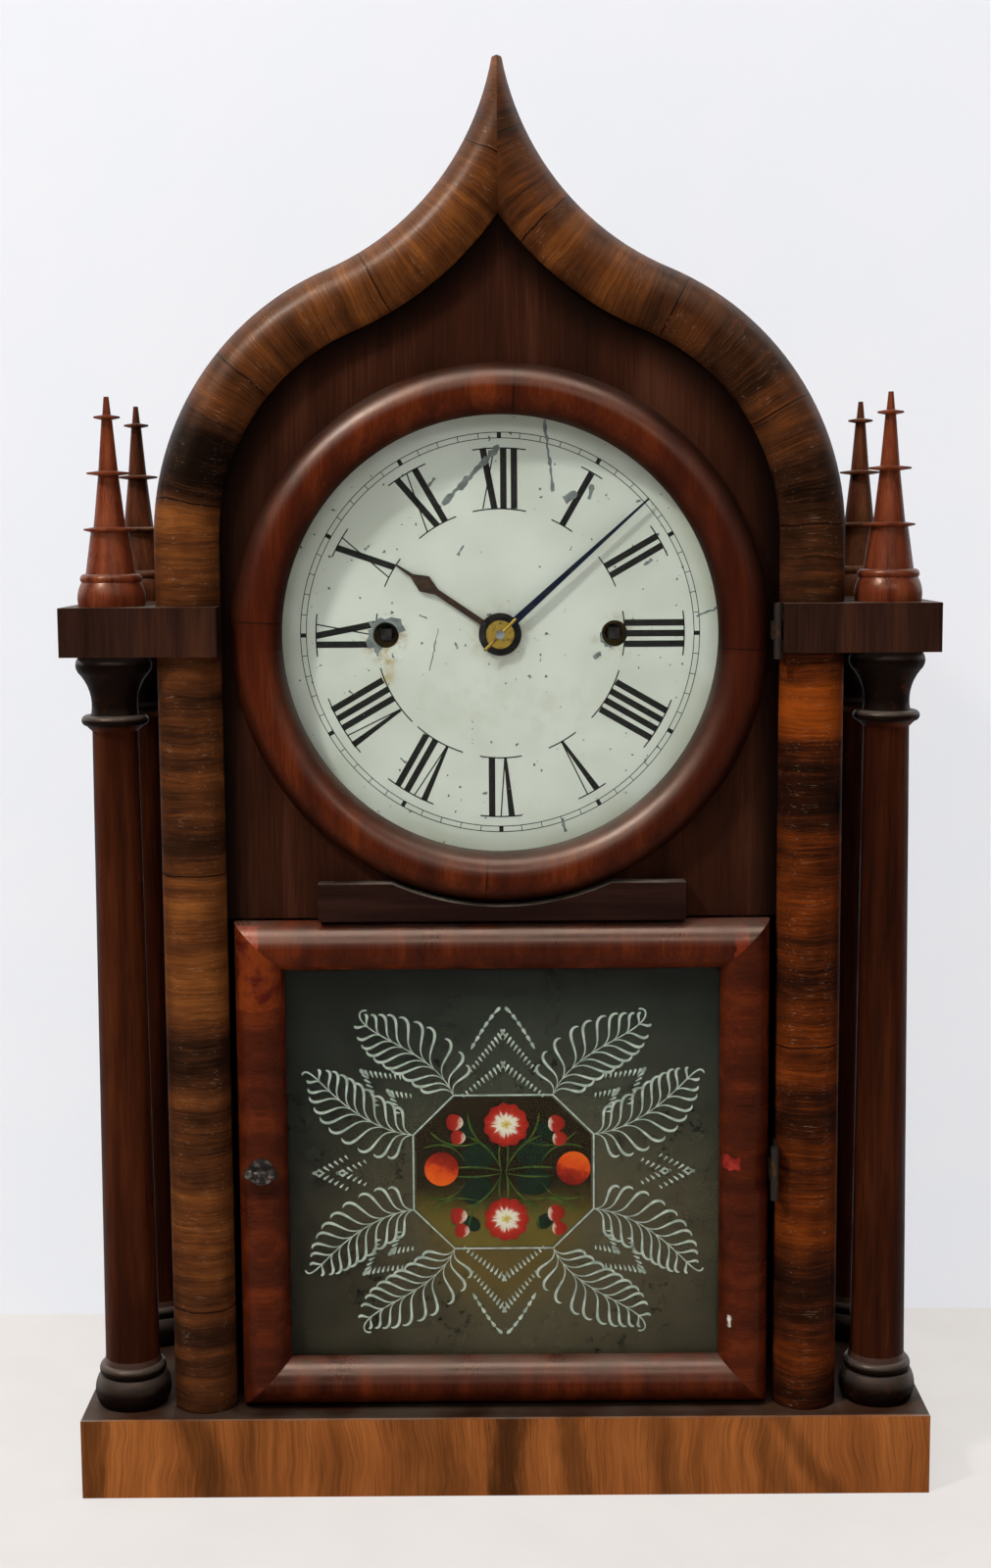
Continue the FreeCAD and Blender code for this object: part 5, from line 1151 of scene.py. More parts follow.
class Leaf:
    """Collects flat shapes, drawn in millimetres of x and z, into one thin closed mesh."""

    def __init__(self, name: str, front: float, thickness: float, centre: Flat = (0.0, 0.0)) -> None:
        """Starts an empty piece.

        Args:
            name: The piece's name.
            front: Its front face, in millimetres along y.
            thickness: From its front face to its back, in millimetres.
            centre: Origin of the piece, which the shapes are drawn round.
        """
        self.name = name
        self.levels = (0.0, thickness)
        self.origin = Vector((centre[0], front, centre[1])) * MM
        self.points: list[Vector] = []
        self.faces: list[tuple[int, ...]] = []

    def corner(self, point: Flat, level: float) -> int:
        """Adds a vertex and gives its number."""
        self.points.append(Vector((point[0], level, point[1])) * MM)
        return len(self.points) - 1

    def polygon(self, outline: Sequence[Flat]) -> None:
        """Adds a closed shape.

        Args:
            outline: Its corners, anticlockwise as seen from the front.
        """
        front = [self.corner(point, self.levels[0]) for point in outline]
        back = [self.corner(point, self.levels[1]) for point in outline]
        self.faces.append(tuple(front))
        self.faces.append(tuple(reversed(back)))
        for index in range(len(front)):
            after = (index + 1) % len(front)
            self.faces.append((front[after], front[index], back[index], back[after]))

    def ribbon(self, path: Sequence[Flat], widths: Sequence[float]) -> None:
        """Adds a brush stroke.

        Args:
            path: Points along its middle.
            widths: Its width at each of them.
        """
        left, right = [], []
        for index, point in enumerate(path):
            before, after = path[max(index - 1, 0)], path[min(index + 1, len(path) - 1)]
            way = Vector((after[0] - before[0], after[1] - before[1])).normalized()
            half = widths[index] / 2
            left.append((point[0] - way.y * half, point[1] + way.x * half))
            right.append((point[0] + way.y * half, point[1] - way.x * half))
        rows = []
        for near, far in zip(left, right):
            rows.append([self.corner(p, level) for p in (near, far) for level in self.levels])
        for one, two in zip(rows, rows[1:]):
            self.faces.append((one[0], one[2], two[2], two[0]))
            self.faces.append((one[1], two[1], two[3], one[3]))
            self.faces.append((one[0], two[0], two[1], one[1]))
            self.faces.append((one[2], one[3], two[3], two[2]))
        first, last = rows[0], rows[-1]
        self.faces.append((first[0], first[1], first[3], first[2]))
        self.faces.append((last[0], last[2], last[3], last[1]))

    def arc(self, radius: float, start: float, end: float, width: float) -> None:
        """Adds a line along a circle.

        Args:
            radius: The circle's radius.
            start: Where it starts, in degrees clockwise from the top.
            end: Where it ends.
            width: The line's width.
        """
        steps = max(2, int(abs(end - start) / 2.0) + 1)
        angles = [math.radians(start + (end - start) * i / steps) for i in range(steps + 1)]
        self.ribbon([(radius * math.sin(a), radius * math.cos(a)) for a in angles], [width] * (steps + 1))

    def finish(self, material: bpy.types.Material, body: str, slot: str) -> None:
        """Makes the object.

        Args:
            material: What it is made of.
            body: The body that it rides on.
            slot: The record's slot for its material; not used.
        """
        mesh = bpy.data.meshes.new(self.name)
        mesh.from_pydata(self.points, [], self.faces)
        mesh.validate()
        mesh.materials.append(material)
        piece = bpy.data.objects.new(self.name, mesh)
        piece.location = self.origin
        bpy.context.scene.collection.objects.link(piece)
        bpy.context.view_layer.update()
        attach(piece, body)
        LOG.info("%s: %d faces on %s", self.name, len(self.faces), body)


class Finish(Protocol):
    """Whatever builds a material."""

    def make(self) -> bpy.types.Material:
        """Builds the material."""


def dress(finish: Finish, *names: str) -> None:
    """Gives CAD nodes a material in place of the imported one.

    Args:
        finish: What builds the material.
        names: The nodes.
    """
    material = finish.make()
    for name in names:
        mesh = frame["nodes"][name].data
        mesh.materials.clear()
        mesh.materials.append(material)
        LOG.info("%s: %s", name, material.name)


def soften(width: float, *names: str) -> None:
    """Rounds the sharp edges of CAD nodes.

    Args:
        width: Width of the rounding, in millimetres.
        names: The nodes.
    """
    for name in names:
        bevel = frame["nodes"][name].modifiers.new("worn_edges", "BEVEL")
        bevel.width = width * MM
        bevel.segments = 2
        bevel.limit_method = "ANGLE"
        bevel.angle_limit = math.radians(50)


def curve(points: Sequence[Flat], steps: int) -> list[Flat]:
    """Points along a Bezier curve of any degree.

    Args:
        points: Its control points.
        steps: Number of parts that it is divided into.

    Returns:
        One point more than there are parts.
    """
    result = []
    for index in range(steps + 1):
        t = index / steps
        row = [Vector(point) for point in points]
        while len(row) > 1:
            row = [a.lerp(b, t) for a, b in zip(row, row[1:])]
        result.append((row[0].x, row[0].y))
    return result


def swelling(steps: int, thin: float, thick: float, at: float = 0.7) -> list[float]:
    """Widths of a brush stroke that starts thin and ends round.

    Args:
        steps: Number of parts of the stroke.
        thin: Width at its start.
        thick: Its greatest width.
        at: How far along that is, as a share of its length.

    Returns:
        One width more than there are parts.
    """
    widths = []
    for index in range(steps + 1):
        t = index / steps
        rise = t / at if t < at else math.sqrt(max(0.0, 1 - ((t - at) / (1 - at)) ** 2))
        widths.append(thin + (thick - thin) * rise)
    return widths


def turns(count: int) -> list[float]:
    """Angles spaced evenly round a circle."""
    return [2 * math.pi * index / count for index in range(count)]


def oval(wide: float, high: float, count: int, at: Flat = (0.0, 0.0), tilt: float = 0.0) -> list[Flat]:
    """Outline of an oval.

    Args:
        wide: Half of its width.
        high: Half of its height.
        count: Number of points.
        at: Its middle.
        tilt: How far it is turned, anticlockwise.

    Returns:
        The points, anticlockwise.
    """
    outline = []
    for angle in turns(count):
        x, z = wide * math.cos(angle), high * math.sin(angle)
        outline.append((at[0] + x * math.cos(tilt) - z * math.sin(tilt),
                        at[1] + x * math.sin(tilt) + z * math.cos(tilt)))
    return outline


def oblong(half: Flat) -> list[Flat]:
    """Corners of an oblong, anticlockwise, from half of its width and height."""
    wide, high = half
    return [(-wide, -high), (wide, -high), (wide, high), (-wide, high)]


@dataclass
class CaseWork:
    """Plinth, case, mouldings, cap blocks, columns and finials.

    Attributes:
        brown: Colours of most of the cross-banded veneer.
        amber: Colours of the redder pilaster.
        runs: Dark runs in the veneer of the plinth.
        foot: Height of the ebonised feet of the columns, in millimetres.
        head: Height of their ebonised capitals.
        edge: Rounding of worn edges.
    """

    brown: tuple[str, str, str, str] = ("130a06", "351d10", "583017", "814c22")
    amber: tuple[str, str, str, str] = ("0f0704", "2c1309", "5b270c", "8b4011")
    runs: tuple[Streak, ...] = (
        Streak(-2.0, 9.0, -0.2, 0.75),
        Streak(-24.0, 12.0, 0.2, 0.4),
        Streak(27.0, 6.0, 0.1, 0.5),
        Streak(-106.0, 9.0, 0.3, 0.5),
        Streak(118.0, 5.0, 0.6, 0.4),
        Streak(104.0, 6.0, 0.5, 0.3),
        Streak(62.0, 7.0, 0.2, 0.35),
        Streak(-149.0, 5.0, 0.0, 0.5),
    )
    foot: float = 15.5
    head: float = 25.0
    edge: float = 0.7

    def build(self) -> None:
        """Dresses every wooden node of the case."""
        self.boards()
        self.pilasters()
        self.arch()
        self.turnings()
        soften(self.edge, "plinth_front_veneer", "plinth_deck", "cap_block_left", "cap_block_right",
               "cradle_strip")

    def boards(self) -> None:
        """Flat boards of the plinth, the case and the front."""
        dress(PlinthWood("plinth_veneer", ("5e351a", "945629", "b26c36"), Grain.UPRIGHT, figure=11.0,
                         fibre=0.7, roughness=0.42, coat=0.08, streaks_at=self.runs),
              "plinth_front_veneer")
        dress(Wood("carcass_wood", ("180b06", "31190e", "442817"), Grain.SIDEWAYS, figure=11.0, fibre=0.9,
                   roughness=0.5, coat=0.08, dust=0.15),
              "plinth_deck", "plinth_rails")
        dress(Wood("side_wood", ("1c0b06", "39190f", "4d2515"), Grain.UPRIGHT, figure=12.0, fibre=0.9,
                   roughness=0.45, coat=0.1, dust=0.4),
              "case_sides", "hood_left", "hood_right")
        dress(Wood("back_wood", ("4a3521", "775a38", "947548"), Grain.UPRIGHT, figure=16.0, fibre=1.0,
                   roughness=0.75, coat=0.0, dust=0.3, relief=0.5),
              "backboard")
        dress(Wood("block_wood", ("170d08", "2f1b15", "442818"), Grain.UPRIGHT, figure=8.0, fibre=0.7,
                   roughness=0.42, coat=0.1, dust=0.5),
              "cap_block_left", "cap_block_right")
        dress(PanelWood("panel_wood", ("1c0f0a", "33190f", "4a2a1c"), Grain.UPRIGHT, figure=18.0, fibre=0.8,
                        roughness=0.42, coat=0.1, dust=0.3),
              "front_panel")
        dress(Wood("cradle_wood", ("140a08", "22130f", "321d17"), Grain.SIDEWAYS, figure=7.0, fibre=0.7,
                   roughness=0.38, coat=0.2, dust=1.0),
              "cradle_strip")

    def pilasters(self) -> None:
        """Cross-banded pilasters, their bands planned from the foot up."""
        left = (
            (29, 0.45), (49, 0.5), (58, 0.33), (68, 0.56), (92, 0.7), (112, 0.62), (124, 0.38), (140, 0.4),
            (146, 0.66), (151, 0.36), (168, 0.3), (175, 0.74), (186, 0.72), (205, 0.7), (224, 0.72),
            (229, 0.45), (241, 0.3), (252, 0.48), (280, 0.52), (291, 0.36), (299, 0.62), (305, 0.55),
        )
        right = (
            (29, 0.3), (38, 0.45), (48, 0.6), (62, 0.45), (68, 0.33), (80, 0.34), (88, 0.54), (98, 0.7),
            (104, 0.52), (129, 0.5), (134, 0.32), (145, 0.34), (150, 0.6), (160, 0.6), (176, 0.55),
            (184, 0.3), (196, 0.42), (220, 0.6), (240, 0.5), (246, 0.28), (262, 0.28), (268, 0.42),
            (273, 0.5), (276, 0.84), (292, 0.8), (299, 0.5), (305, 0.35),
        )
        dress(Veneer("pilaster_left_veneer", self.brown, Run.UPRIGHT, seed=3.0, course=left,
                     seams=(67.5, 227.0)),
              "pilaster_left")
        dress(Veneer("pilaster_right_veneer", self.amber, Run.UPRIGHT, seed=8.0, course=right,
                     seams=(163.5,)),
              "pilaster_right")

    def arch(self) -> None:
        """Cross-banded ogee mouldings, their bands planned from the spring up."""
        # The lighter stops about the left moulding's neck, and the lightest at the tip of both, are partly
        # painted sheen and highlight.
        left = (
            (-24, 0.5), (-8, 0.66), (11, 0.68), (16, 0.1), (38, 0.12), (46, 0.58), (60, 0.62), (78, 0.54),
            (96, 0.66), (122, 0.7), (150, 0.72), (172, 0.64), (186, 0.45), (200, 0.55), (216, 1.0),
        )
        right = (
            (-24, 0.44), (0, 0.34), (26, 0.22), (36, 0.52), (52, 0.55), (62, 0.3), (76, 0.34), (88, 0.55),
            (108, 0.42), (122, 0.66), (150, 0.62), (172, 0.52), (188, 0.42), (200, 0.55), (216, 1.0),
        )
        dress(Veneer("arch_left_veneer", self.brown, Run.ARCH, seed=5.0, course=left,
                     seams=(13.0, 62.0, 118.0, 178.0)),
              "arch_moulding_left")
        dress(Veneer("arch_right_veneer", self.brown, Run.ARCH, seed=12.0, course=right,
                     seams=(4.0, 46.0, 98.0, 152.0, 184.0)),
              "arch_moulding_right")

    def turnings(self) -> None:
        """Columns with ebonised bases and capitals, and polished finials."""
        span = Span("columns_front")
        plinth = Span("plinth_deck").high[2]
        block = Span("cap_block_left").low[2]
        bands = ((span.low[2] - 1, plinth + self.foot), (block - self.head, span.high[2] + 1))
        dress(TurnedWood("column_wood", ("180a06", "341509", "4c2411"), Grain.UPRIGHT, figure=6.0, fibre=0.6,
                         roughness=0.34, coat=0.12, dust=0.3, bands=bands),
              "columns_front", "columns_rear")
        dress(TurnedWood("finial_wood", ("381309", "692f1a", "834427"), Grain.UPRIGHT, figure=5.0, fibre=0.5,
                         roughness=0.32, coat=0.3, dust=0.2),
              "finials_front")
        # The rear finials take darker tones as painted shade, and are duller and dustier.
        dress(TurnedWood("finial_worn_and_shaded_wood", ("24120b", "512817", "6e4426"), Grain.UPRIGHT, figure=5.0,
                         fibre=0.5, roughness=0.42, coat=0.1, dust=0.4),
              "finials_rear")


@dataclass
class Doors:
    """Round bezel door and tablet door with their hinges and latch.

    Attributes:
        bezel_tones: Colours of the bezel's wood.
        tones: Colours of the tablet door's wood.
    """

    bezel_tones: tuple[str, str, str] = ("280c06", "4b1c0b", "6c2e12")
    tones: tuple[str, str, str] = ("260b05", "481a0a", "682a0f")

    def build(self) -> None:
        """Dresses both doors."""
        ring = Span("bezel_ring")
        dress(RingWood("bezel_wood", self.bezel_tones, Grain.UPRIGHT, figure=9.0, fibre=0.7, roughness=0.4,
                       coat=0.75, dust=0.1, centre=(ring.middle(0), ring.middle(2))),
              "bezel_ring")
        self.frame_members()
        dress(Glass("dial_glass", "fbfdfb", wave=0.015, index=1.1), "bezel_glass")
        dress(Glass("tablet_clear", "f4f5f0", wave=0.01, index=1.1), "tablet_glass")
        dress(Metal("hinge_metal", "5a4028", "241810", cover=0.75, roughness=0.4, patch=3.0),
              "hinge_case_leaves", "bezel_hinge_door_leaf", "door_hinge_door_leaf")
        dress(Metal("latch_iron", "6b635d", "2a211c", cover=0.6, roughness=0.34, patch=2.5),
              "latch_plate", "latch_turn")

    def frame_members(self) -> None:
        """Rails with upright fibres and stiles with level ones, with flaked corners."""
        door = Span("door_left_stile")
        left, top = door.low[0], door.high[2]
        right = Span("door_right_stile").high[0]
        rail = (Flake(left - 3, left + 9.5, top - 18, top + 3, "903a22", "5c1810"),
                Flake(right - 12.5, right - 8.5, top - 15, top + 3, "742a14"))
        near = (Flake(left + 1.5, left + 24, top - 31, top - 4, "74300f"),)
        far = (Flake(right - 16.5, right - 11.0, 118.5, 123.5, "b03a30", "7c2018"),
               Flake(right - 15.0, right - 13.8, 60.0, 64.0, "e8e2da", "c8beb0"))
        sorts = (
            ("door_rail_wood", Grain.UPRIGHT, rail, ("door_top_rail", "door_bottom_rail")),
            ("door_left_wood", Grain.SIDEWAYS, near, ("door_left_stile",)),
            ("door_right_wood", Grain.SIDEWAYS, far, ("door_right_stile",)),
        )
        for name, grain, flakes, nodes in sorts:
            dress(DoorWood(name, self.tones, grain, figure=8.0, fibre=0.7, roughness=0.35, coat=1.0, dust=0.2,
                           flakes=flakes, behind=door.middle(1)),
                  *nodes)


NUMERALS = ("I", "II", "III", "IIII", "V", "VI", "VII", "VIII", "IX", "X", "XI", "XII")
LETTER_WIDTHS = {"I": 3.75, "V": 6.5, "X": 6.7}
DIAL_FACE = ("case", "dial_paint")


@dataclass
class Dial:
    """Painted dial: plate, minute track, numerals, chips and hands.

    Attributes:
        inner: Radius of the numerals' feet, in millimetres.
        outer: Radius of the numerals' heads.
        serif: How far the serif lines reach past the letters.
        track: Inner and outer radius of the minute track.
        ring: Width of the track's rings.
        bar: Width of its bars.
        block: Width of its blocks.
        thick: Width of thick strokes.
        thin: Width of thin strokes.
        coat: Thickness of the paint.
        winding: Distance of the winding holes from the middle.
        bare: Inner radius of the bare metal round those holes.
        boss: How far the black of the hour hand's boss reaches.
        front: Front of the paint, in millimetres of y.
        centre: Middle of the dial, x and z in millimetres.
    """

    inner: float = 44.3
    outer: float = 65.5
    serif: float = 2.4
    track: Flat = (69.0, 71.0)
    ring: float = 0.28
    bar: float = 0.26
    block: float = 1.5
    thick: float = 2.3
    thin: float = 0.46
    coat: float = 0.04
    winding: float = 40.7
    bare: float = 4.5
    boss: float = 8.0
    front: float = field(init=False)
    centre: Flat = field(init=False)

    def build(self) -> None:
        """Paints the plate and dresses the hands."""
        plate = Span("dial")
        self.front = plate.low[1] - self.coat
        self.centre = (plate.middle(0), plate.middle(2))
        dress(DialPaint(self.centre, self.winding), "dial")
        black = Paint("numeral_black", "0e0d0a", "191813", "b9beac", loss=0.12).make()
        self.numerals(black)
        self.minute_track(black)
        self.chips()
        dress(HandMetal("rusty_hand", "4a382b", "2c1d14", cover=0.6, roughness=0.55, patch=1.6,
                        axis=self.centre, reach=self.boss),
              "hour_hand")
        dress(Metal("blued_hand", "191f30", "0d1018", cover=0.35, roughness=0.3, patch=5.0), "minute_hand")
        dress(Metal("washer_brass", "9c8038", "5a471e", cover=0.3, roughness=0.3, patch=2.0),
              "hand_washer_and_pin")

    def leaf(self, name: str, lift: float = 0.0) -> Leaf:
        """A layer of paint on the dial, drawn round its middle and lifted off its front."""
        return Leaf(name, self.front - lift, self.coat, self.centre)

    def numerals(self, black: bpy.types.Material) -> None:
        """Twelve radial Roman numerals with their feet to the middle.

        Args:
            black: The paint.
        """
        leaf = self.leaf("dial_numerals")
        for hour, letters in enumerate(NUMERALS, 1):
            self.numeral(leaf, letters, math.radians(30 * hour))
        leaf.finish(black, *DIAL_FACE)

    def numeral(self, leaf: Leaf, letters: str, turn: float) -> None:
        """One numeral of thick and thin strokes between two serif lines.

        Args:
            leaf: The layer of paint.
            letters: The numeral.
            turn: Its angle, clockwise from the top.
        """
        width = sum(LETTER_WIDTHS[letter] for letter in letters)
        at = -width / 2
        for letter in letters:
            half = LETTER_WIDTHS[letter] / 2
            middle, lean = at + half, half - 1.3
            if letter == "I":
                self.stroke(leaf, turn, middle, middle, self.thick)
            elif letter == "V":
                self.stroke(leaf, turn, middle + 0.3, middle - lean, self.thick, 0.45)
                self.stroke(leaf, turn, middle + 0.5, middle + lean, self.thin)
            else:
                self.stroke(leaf, turn, middle + lean, middle - lean, self.thick)
                self.stroke(leaf, turn, middle - lean, middle + lean, self.thin)
            at += LETTER_WIDTHS[letter]
        for radius in (self.inner, self.outer):
            reach = math.degrees((width / 2 + self.serif) / radius)
            middle = math.degrees(turn)
            leaf.arc(radius, middle - reach, middle + reach, self.thin)

    def stroke(self, leaf: Leaf, turn: float, foot: float, head: float, size: float,
               taper: float = 1.0) -> None:
        """A straight stroke of a letter.

        Args:
            leaf: The layer of paint.
            turn: Angle of the numeral, clockwise from the top.
            foot: Where its inner end is, across the numeral.
            head: Where its outer end is.
            size: Its width at the head.
            taper: Its width at the foot, as a share of that.
        """
        sine, cosine = math.sin(turn), math.cos(turn)
        ends = ((foot, self.inner), (head, self.outer))
        path = [(u * cosine + r * sine, u * -sine + r * cosine) for u, r in ends]
        leaf.ribbon(path, [size * taper, size])

    def minute_track(self, black: bpy.types.Material) -> None:
        """Two fine rings with a bar at each minute and a block at each fifth.

        Args:
            black: The paint.
        """
        leaf = self.leaf("dial_minute_track")
        for radius in self.track:
            leaf.arc(radius, 0, 360, self.ring)
        for minute in range(60):
            turn = math.radians(6 * minute)
            path = [(r * math.sin(turn), r * math.cos(turn)) for r in self.track]
            leaf.ribbon(path, [self.bar if minute % 5 else self.block] * 2)
        leaf.finish(black, *DIAL_FACE)

    def chips(self) -> None:
        """Chips and scrapes where the bare metal shows."""
        leaf = self.leaf("dial_chips", 0.02)
        draw = random.Random(41)
        scrapes = (
            (-20, 46, 0, 66, 2.6), (16, 75, 19, 50, 1.3), (-22, 2, -25, -13, 0.5), (70, 6, 78, 9, 0.9),
            (22, -66, 23, -71, 1.2), (33, -9, 36, -7, 1.6), (23, 47, 27, 50, 3.0),
            (31.5, 47.5, 33, 52.5, 2.4), (-15, 28, -12.5, 31.5, 1.3), (-25, 52, -23, 55, 1.2),
            (-48, 30, -46, 32, 1.0), (51, 24, 54, 26, 1.3), (-29, 7, -26, 6, 0.9), (-16, -3, -15.5, -5, 1.0),
            (10, -15, 11, -15.5, 1.0), (-54, -20, -52, -21, 0.9), (-36, -44, -34, -46, 1.1),
            (-7, -57, -5, -57, 1.0),
        )
        for x0, z0, x1, z1, width in scrapes:
            steps = max(3, int(math.hypot(x1 - x0, z1 - z0) / 1.2))
            path, widths = [], []
            for index in range(steps + 1):
                t = index / steps
                x = x0 + (x1 - x0) * t + draw.uniform(-0.3, 0.3)
                z = z0 + (z1 - z0) * t + draw.uniform(-0.3, 0.3)
                path.append((x, z))
                widths.append(width * draw.uniform(0.35, 1.15))
            leaf.ribbon(path, widths)
        rings = ((-self.winding, 10, 262, 0.7, 3.6), (self.winding, 175, 262, 0.3, 1.6))
        for middle, start, end, least, most in rings:
            path, widths = [], []
            for degrees in range(start, end, 12):
                width = draw.uniform(least, most)
                radius, angle = self.bare + width / 2, math.radians(degrees)
                path.append((middle + radius * math.cos(angle), radius * math.sin(angle)))
                widths.append(width)
            leaf.ribbon(path, widths)
        metal = Paint("chipped_metal", "7f8684", "676d6b", "959b98", loss=0.3, roughness=0.6)
        leaf.finish(metal.make(), *DIAL_FACE)


TABLET_PANE = ("tablet_door", "tablet_glass")


@dataclass
class Tablet:
    """Painted glass of the lower door: plumes round an octagon of flowers and fruit.

    Attributes:
        opening: Half width and half height of the painted pane, in millimetres.
        half: Half width of the octagon, sideways and upwards.
        flat: Half length of its level and upright sides.
        line: Width of its white line.
        drop: How far the middle of the painting sits under the middle of the glass.
        coat: Thickness of one layer of paint.
        gap: Space between layers.
        barbs: Number of barbs on each side of a plume.
        steps: Number of parts of a barb.
        paper: Half width and half height of the label.
        back: Back of the glass, in millimetres of y.
        centre: Middle of the painting, x and z in millimetres.
        white: Paint of the plumes, the drops and the line.
    """

    opening: Flat = (80.0, 74.0)
    half: Flat = (32.8, 28.7)
    flat: Flat = (18.0, 14.0)
    line: float = 0.55
    drop: float = 3.8
    coat: float = 0.03
    gap: float = 0.02
    barbs: int = 10
    steps: int = 18
    paper: Flat = (92.0, 86.0)
    back: float = field(init=False)
    centre: Flat = field(init=False)
    white: bpy.types.Material = field(init=False)

    def build(self) -> None:
        """Paints the back of the glass, layer by layer, and pastes the label inside."""
        pane = Span("tablet_glass")
        self.back = pane.high[1]
        self.centre = (pane.middle(0), pane.middle(2) - self.drop)
        self.white = Paint("plume_white", "d2dcd6", "a5b3ac", "7c8783").make()
        self.line_work()
        self.plumes()
        self.chevrons()
        self.flowers()
        self.leaves()
        self.stems()
        # The octagon's ground; its lighter foot is a painted glow of the bob behind the glass.
        film = self.leaf("tablet_octagon_ground", 5)
        film.polygon(self.corners(0.97))
        film.finish(Film("octagon_ground", "271c0b", "6f6129", cover=0.86).make(), *TABLET_PANE)
        backing = self.leaf("tablet_grime", 7, (0.0, self.drop))
        backing.polygon(oblong(self.opening))
        backing.finish(Grime("tablet_grime", "5c5440", "060705", cover=0.86).make(), *TABLET_PANE)
        self.label()

    def leaf(self, name: str, layer: int, at: Flat = (0.0, 0.0)) -> Leaf:
        """A layer of paint behind the glass, drawn round a point of the tablet."""
        front = self.back + self.gap + layer * (self.coat + self.gap)
        return Leaf(name, front, self.coat, (self.centre[0] + at[0], self.centre[1] + at[1]))

    def corners(self, size: float = 1.0) -> list[Flat]:
        """Corners of the octagon.

        Args:
            size: How large it is, as a share of the painted line's octagon.

        Returns:
            The corners, anticlockwise from the right.
        """
        (wide, high), (level, upright) = self.half, self.flat
        quarter = [(wide, -upright), (wide, upright), (level, high), (-level, high)]
        return [(x * size, z * size) for x, z in quarter + [(-x, -z) for x, z in quarter]]

    def line_work(self) -> None:
        """The octagon's white line."""
        leaf = self.leaf("tablet_octagon_line", 0)
        corners = self.corners()
        for one, two in zip(corners, corners[1:] + corners[:1]):
            leaf.ribbon(curve((one, two), 6), [self.line] * 7)
        leaf.finish(self.white, *TABLET_PANE)

    def plumes(self) -> None:
        """Eight feather plumes, one from each corner of the octagon."""
        leaf = self.leaf("tablet_plumes", 0)
        upper = ((0.0, 0.0), (-4.0, 10.0), (-14.0, 18.0), (-26.0, 21.5),
                 (-33.0, 24.0), (-36.5, 29.0), (-34.0, 32.5), (-31.0, 31.5))
        lower = ((0.0, 0.0), (-10.0, 1.0), (-20.0, 6.0), (-28.0, 13.0),
                 (-33.0, 19.0), (-36.0, 24.0), (-39.0, 25.5), (-40.0, 22.5))
        sorts = ((self.flat[0], self.half[1], upper), (self.half[0], self.flat[1], lower))
        for x, z, shape in sorts:
            for side in (-1, 1):
                for way in (-1, 1):
                    points = [(side * (x - dx), way * (z + dz)) for dx, dz in shape]
                    self.plume(leaf, curve(points, 60))
        leaf.finish(self.white, *TABLET_PANE)

    def plume(self, leaf: Leaf, spine: Sequence[Flat]) -> None:
        """One plume: a fine spine with barbs that part from it, swell and hook back.

        Args:
            leaf: The layer of paint.
            spine: Points along the spine, from the octagon outwards.
        """
        last = len(spine) - 1
        leaf.ribbon(spine, [0.28 + 0.3 * i / last for i in range(last)] + [0.2])
        run = [0.0]
        for one, two in zip(spine, spine[1:]):
            run.append(run[-1] + math.dist(one, two))
        for index in range(self.barbs):
            share = index / (self.barbs - 1)
            reach = 0.82 * run[-1] * share ** 1.15
            at = max(i for i in range(last - 1) if run[i] <= reach)
            heading = math.atan2(spine[at + 2][1] - spine[at][1], spine[at + 2][0] - spine[at][0])
            length = 14.5 + 22.2 * share - 31.2 * share ** 2
            spread = math.radians(58 + 22 * (1 - share) ** 3)
            for side in (-1, 1):
                self.barb(leaf, spine[at], heading, side, length, spread)

    def barb(self, leaf: Leaf, root: Flat, heading: float, side: int, length: float, spread: float) -> None:
        """One barb of a plume.

        Args:
            leaf: The layer of paint.
            root: Where it leaves the spine.
            heading: The spine's direction there.
            side: Which side of the spine.
            length: Length of the stroke in millimetres.
            spread: How far it turns away from the spine.
        """
        x, z = root
        path = [root]
        start, hook = math.radians(12), spread + math.radians(60)
        for step in range(self.steps):
            t = (step + 0.5) / self.steps
            part = min(1.0, t / 0.45)
            curl = max(0.0, (t - 0.58) / 0.42)
            turn = start + (spread - start) * part * part * (3 - 2 * part) - hook * curl * curl
            x += length / self.steps * math.cos(heading + side * turn)
            z += length / self.steps * math.sin(heading + side * turn)
            path.append((x, z))
        leaf.ribbon(path, swelling(self.steps, 0.14, 1.02, 0.72))

    def chevrons(self) -> None:
        """Nested chevrons of short drops between the plumes, with an arch of longer ones above and below."""
        leaf = self.leaf("tablet_chevrons", 0)
        peaks = (((0.7, 41.3), (15.0, 29.2), 11), ((0.7, 53.2), (12.2, 38.5), 11))
        sides = (((61.0, 0.4), (51.0, 4.8), 6), ((69.6, 0.4), (57.7, 6.5), 7))
        ells = (((42.3, 31.2), (33.6, 29.4), 6), ((42.3, 31.2), (39.0, 22.5), 6),
                ((51.8, 38.7), (37.4, 36.4), 9), ((51.8, 38.7), (46.6, 25.4), 8))
        sorts = (((-0.4, -0.92), peaks), ((-0.92, -0.4), sides), ((-0.62, -0.78), ells))
        for sx in (-1, 1):
            for sz in (-1, 1):
                for inward, arms in sorts:
                    tail = Vector((sx * inward[0], sz * inward[1])).normalized()
                    for apex, end, count in arms:
                        ends = (sx * apex[0], sz * apex[1]), (sx * end[0], sz * end[1])
                        self.drops(leaf, ends, tail, count)
                self.arch(leaf, sx, sz)
        leaf.finish(self.white, *TABLET_PANE)

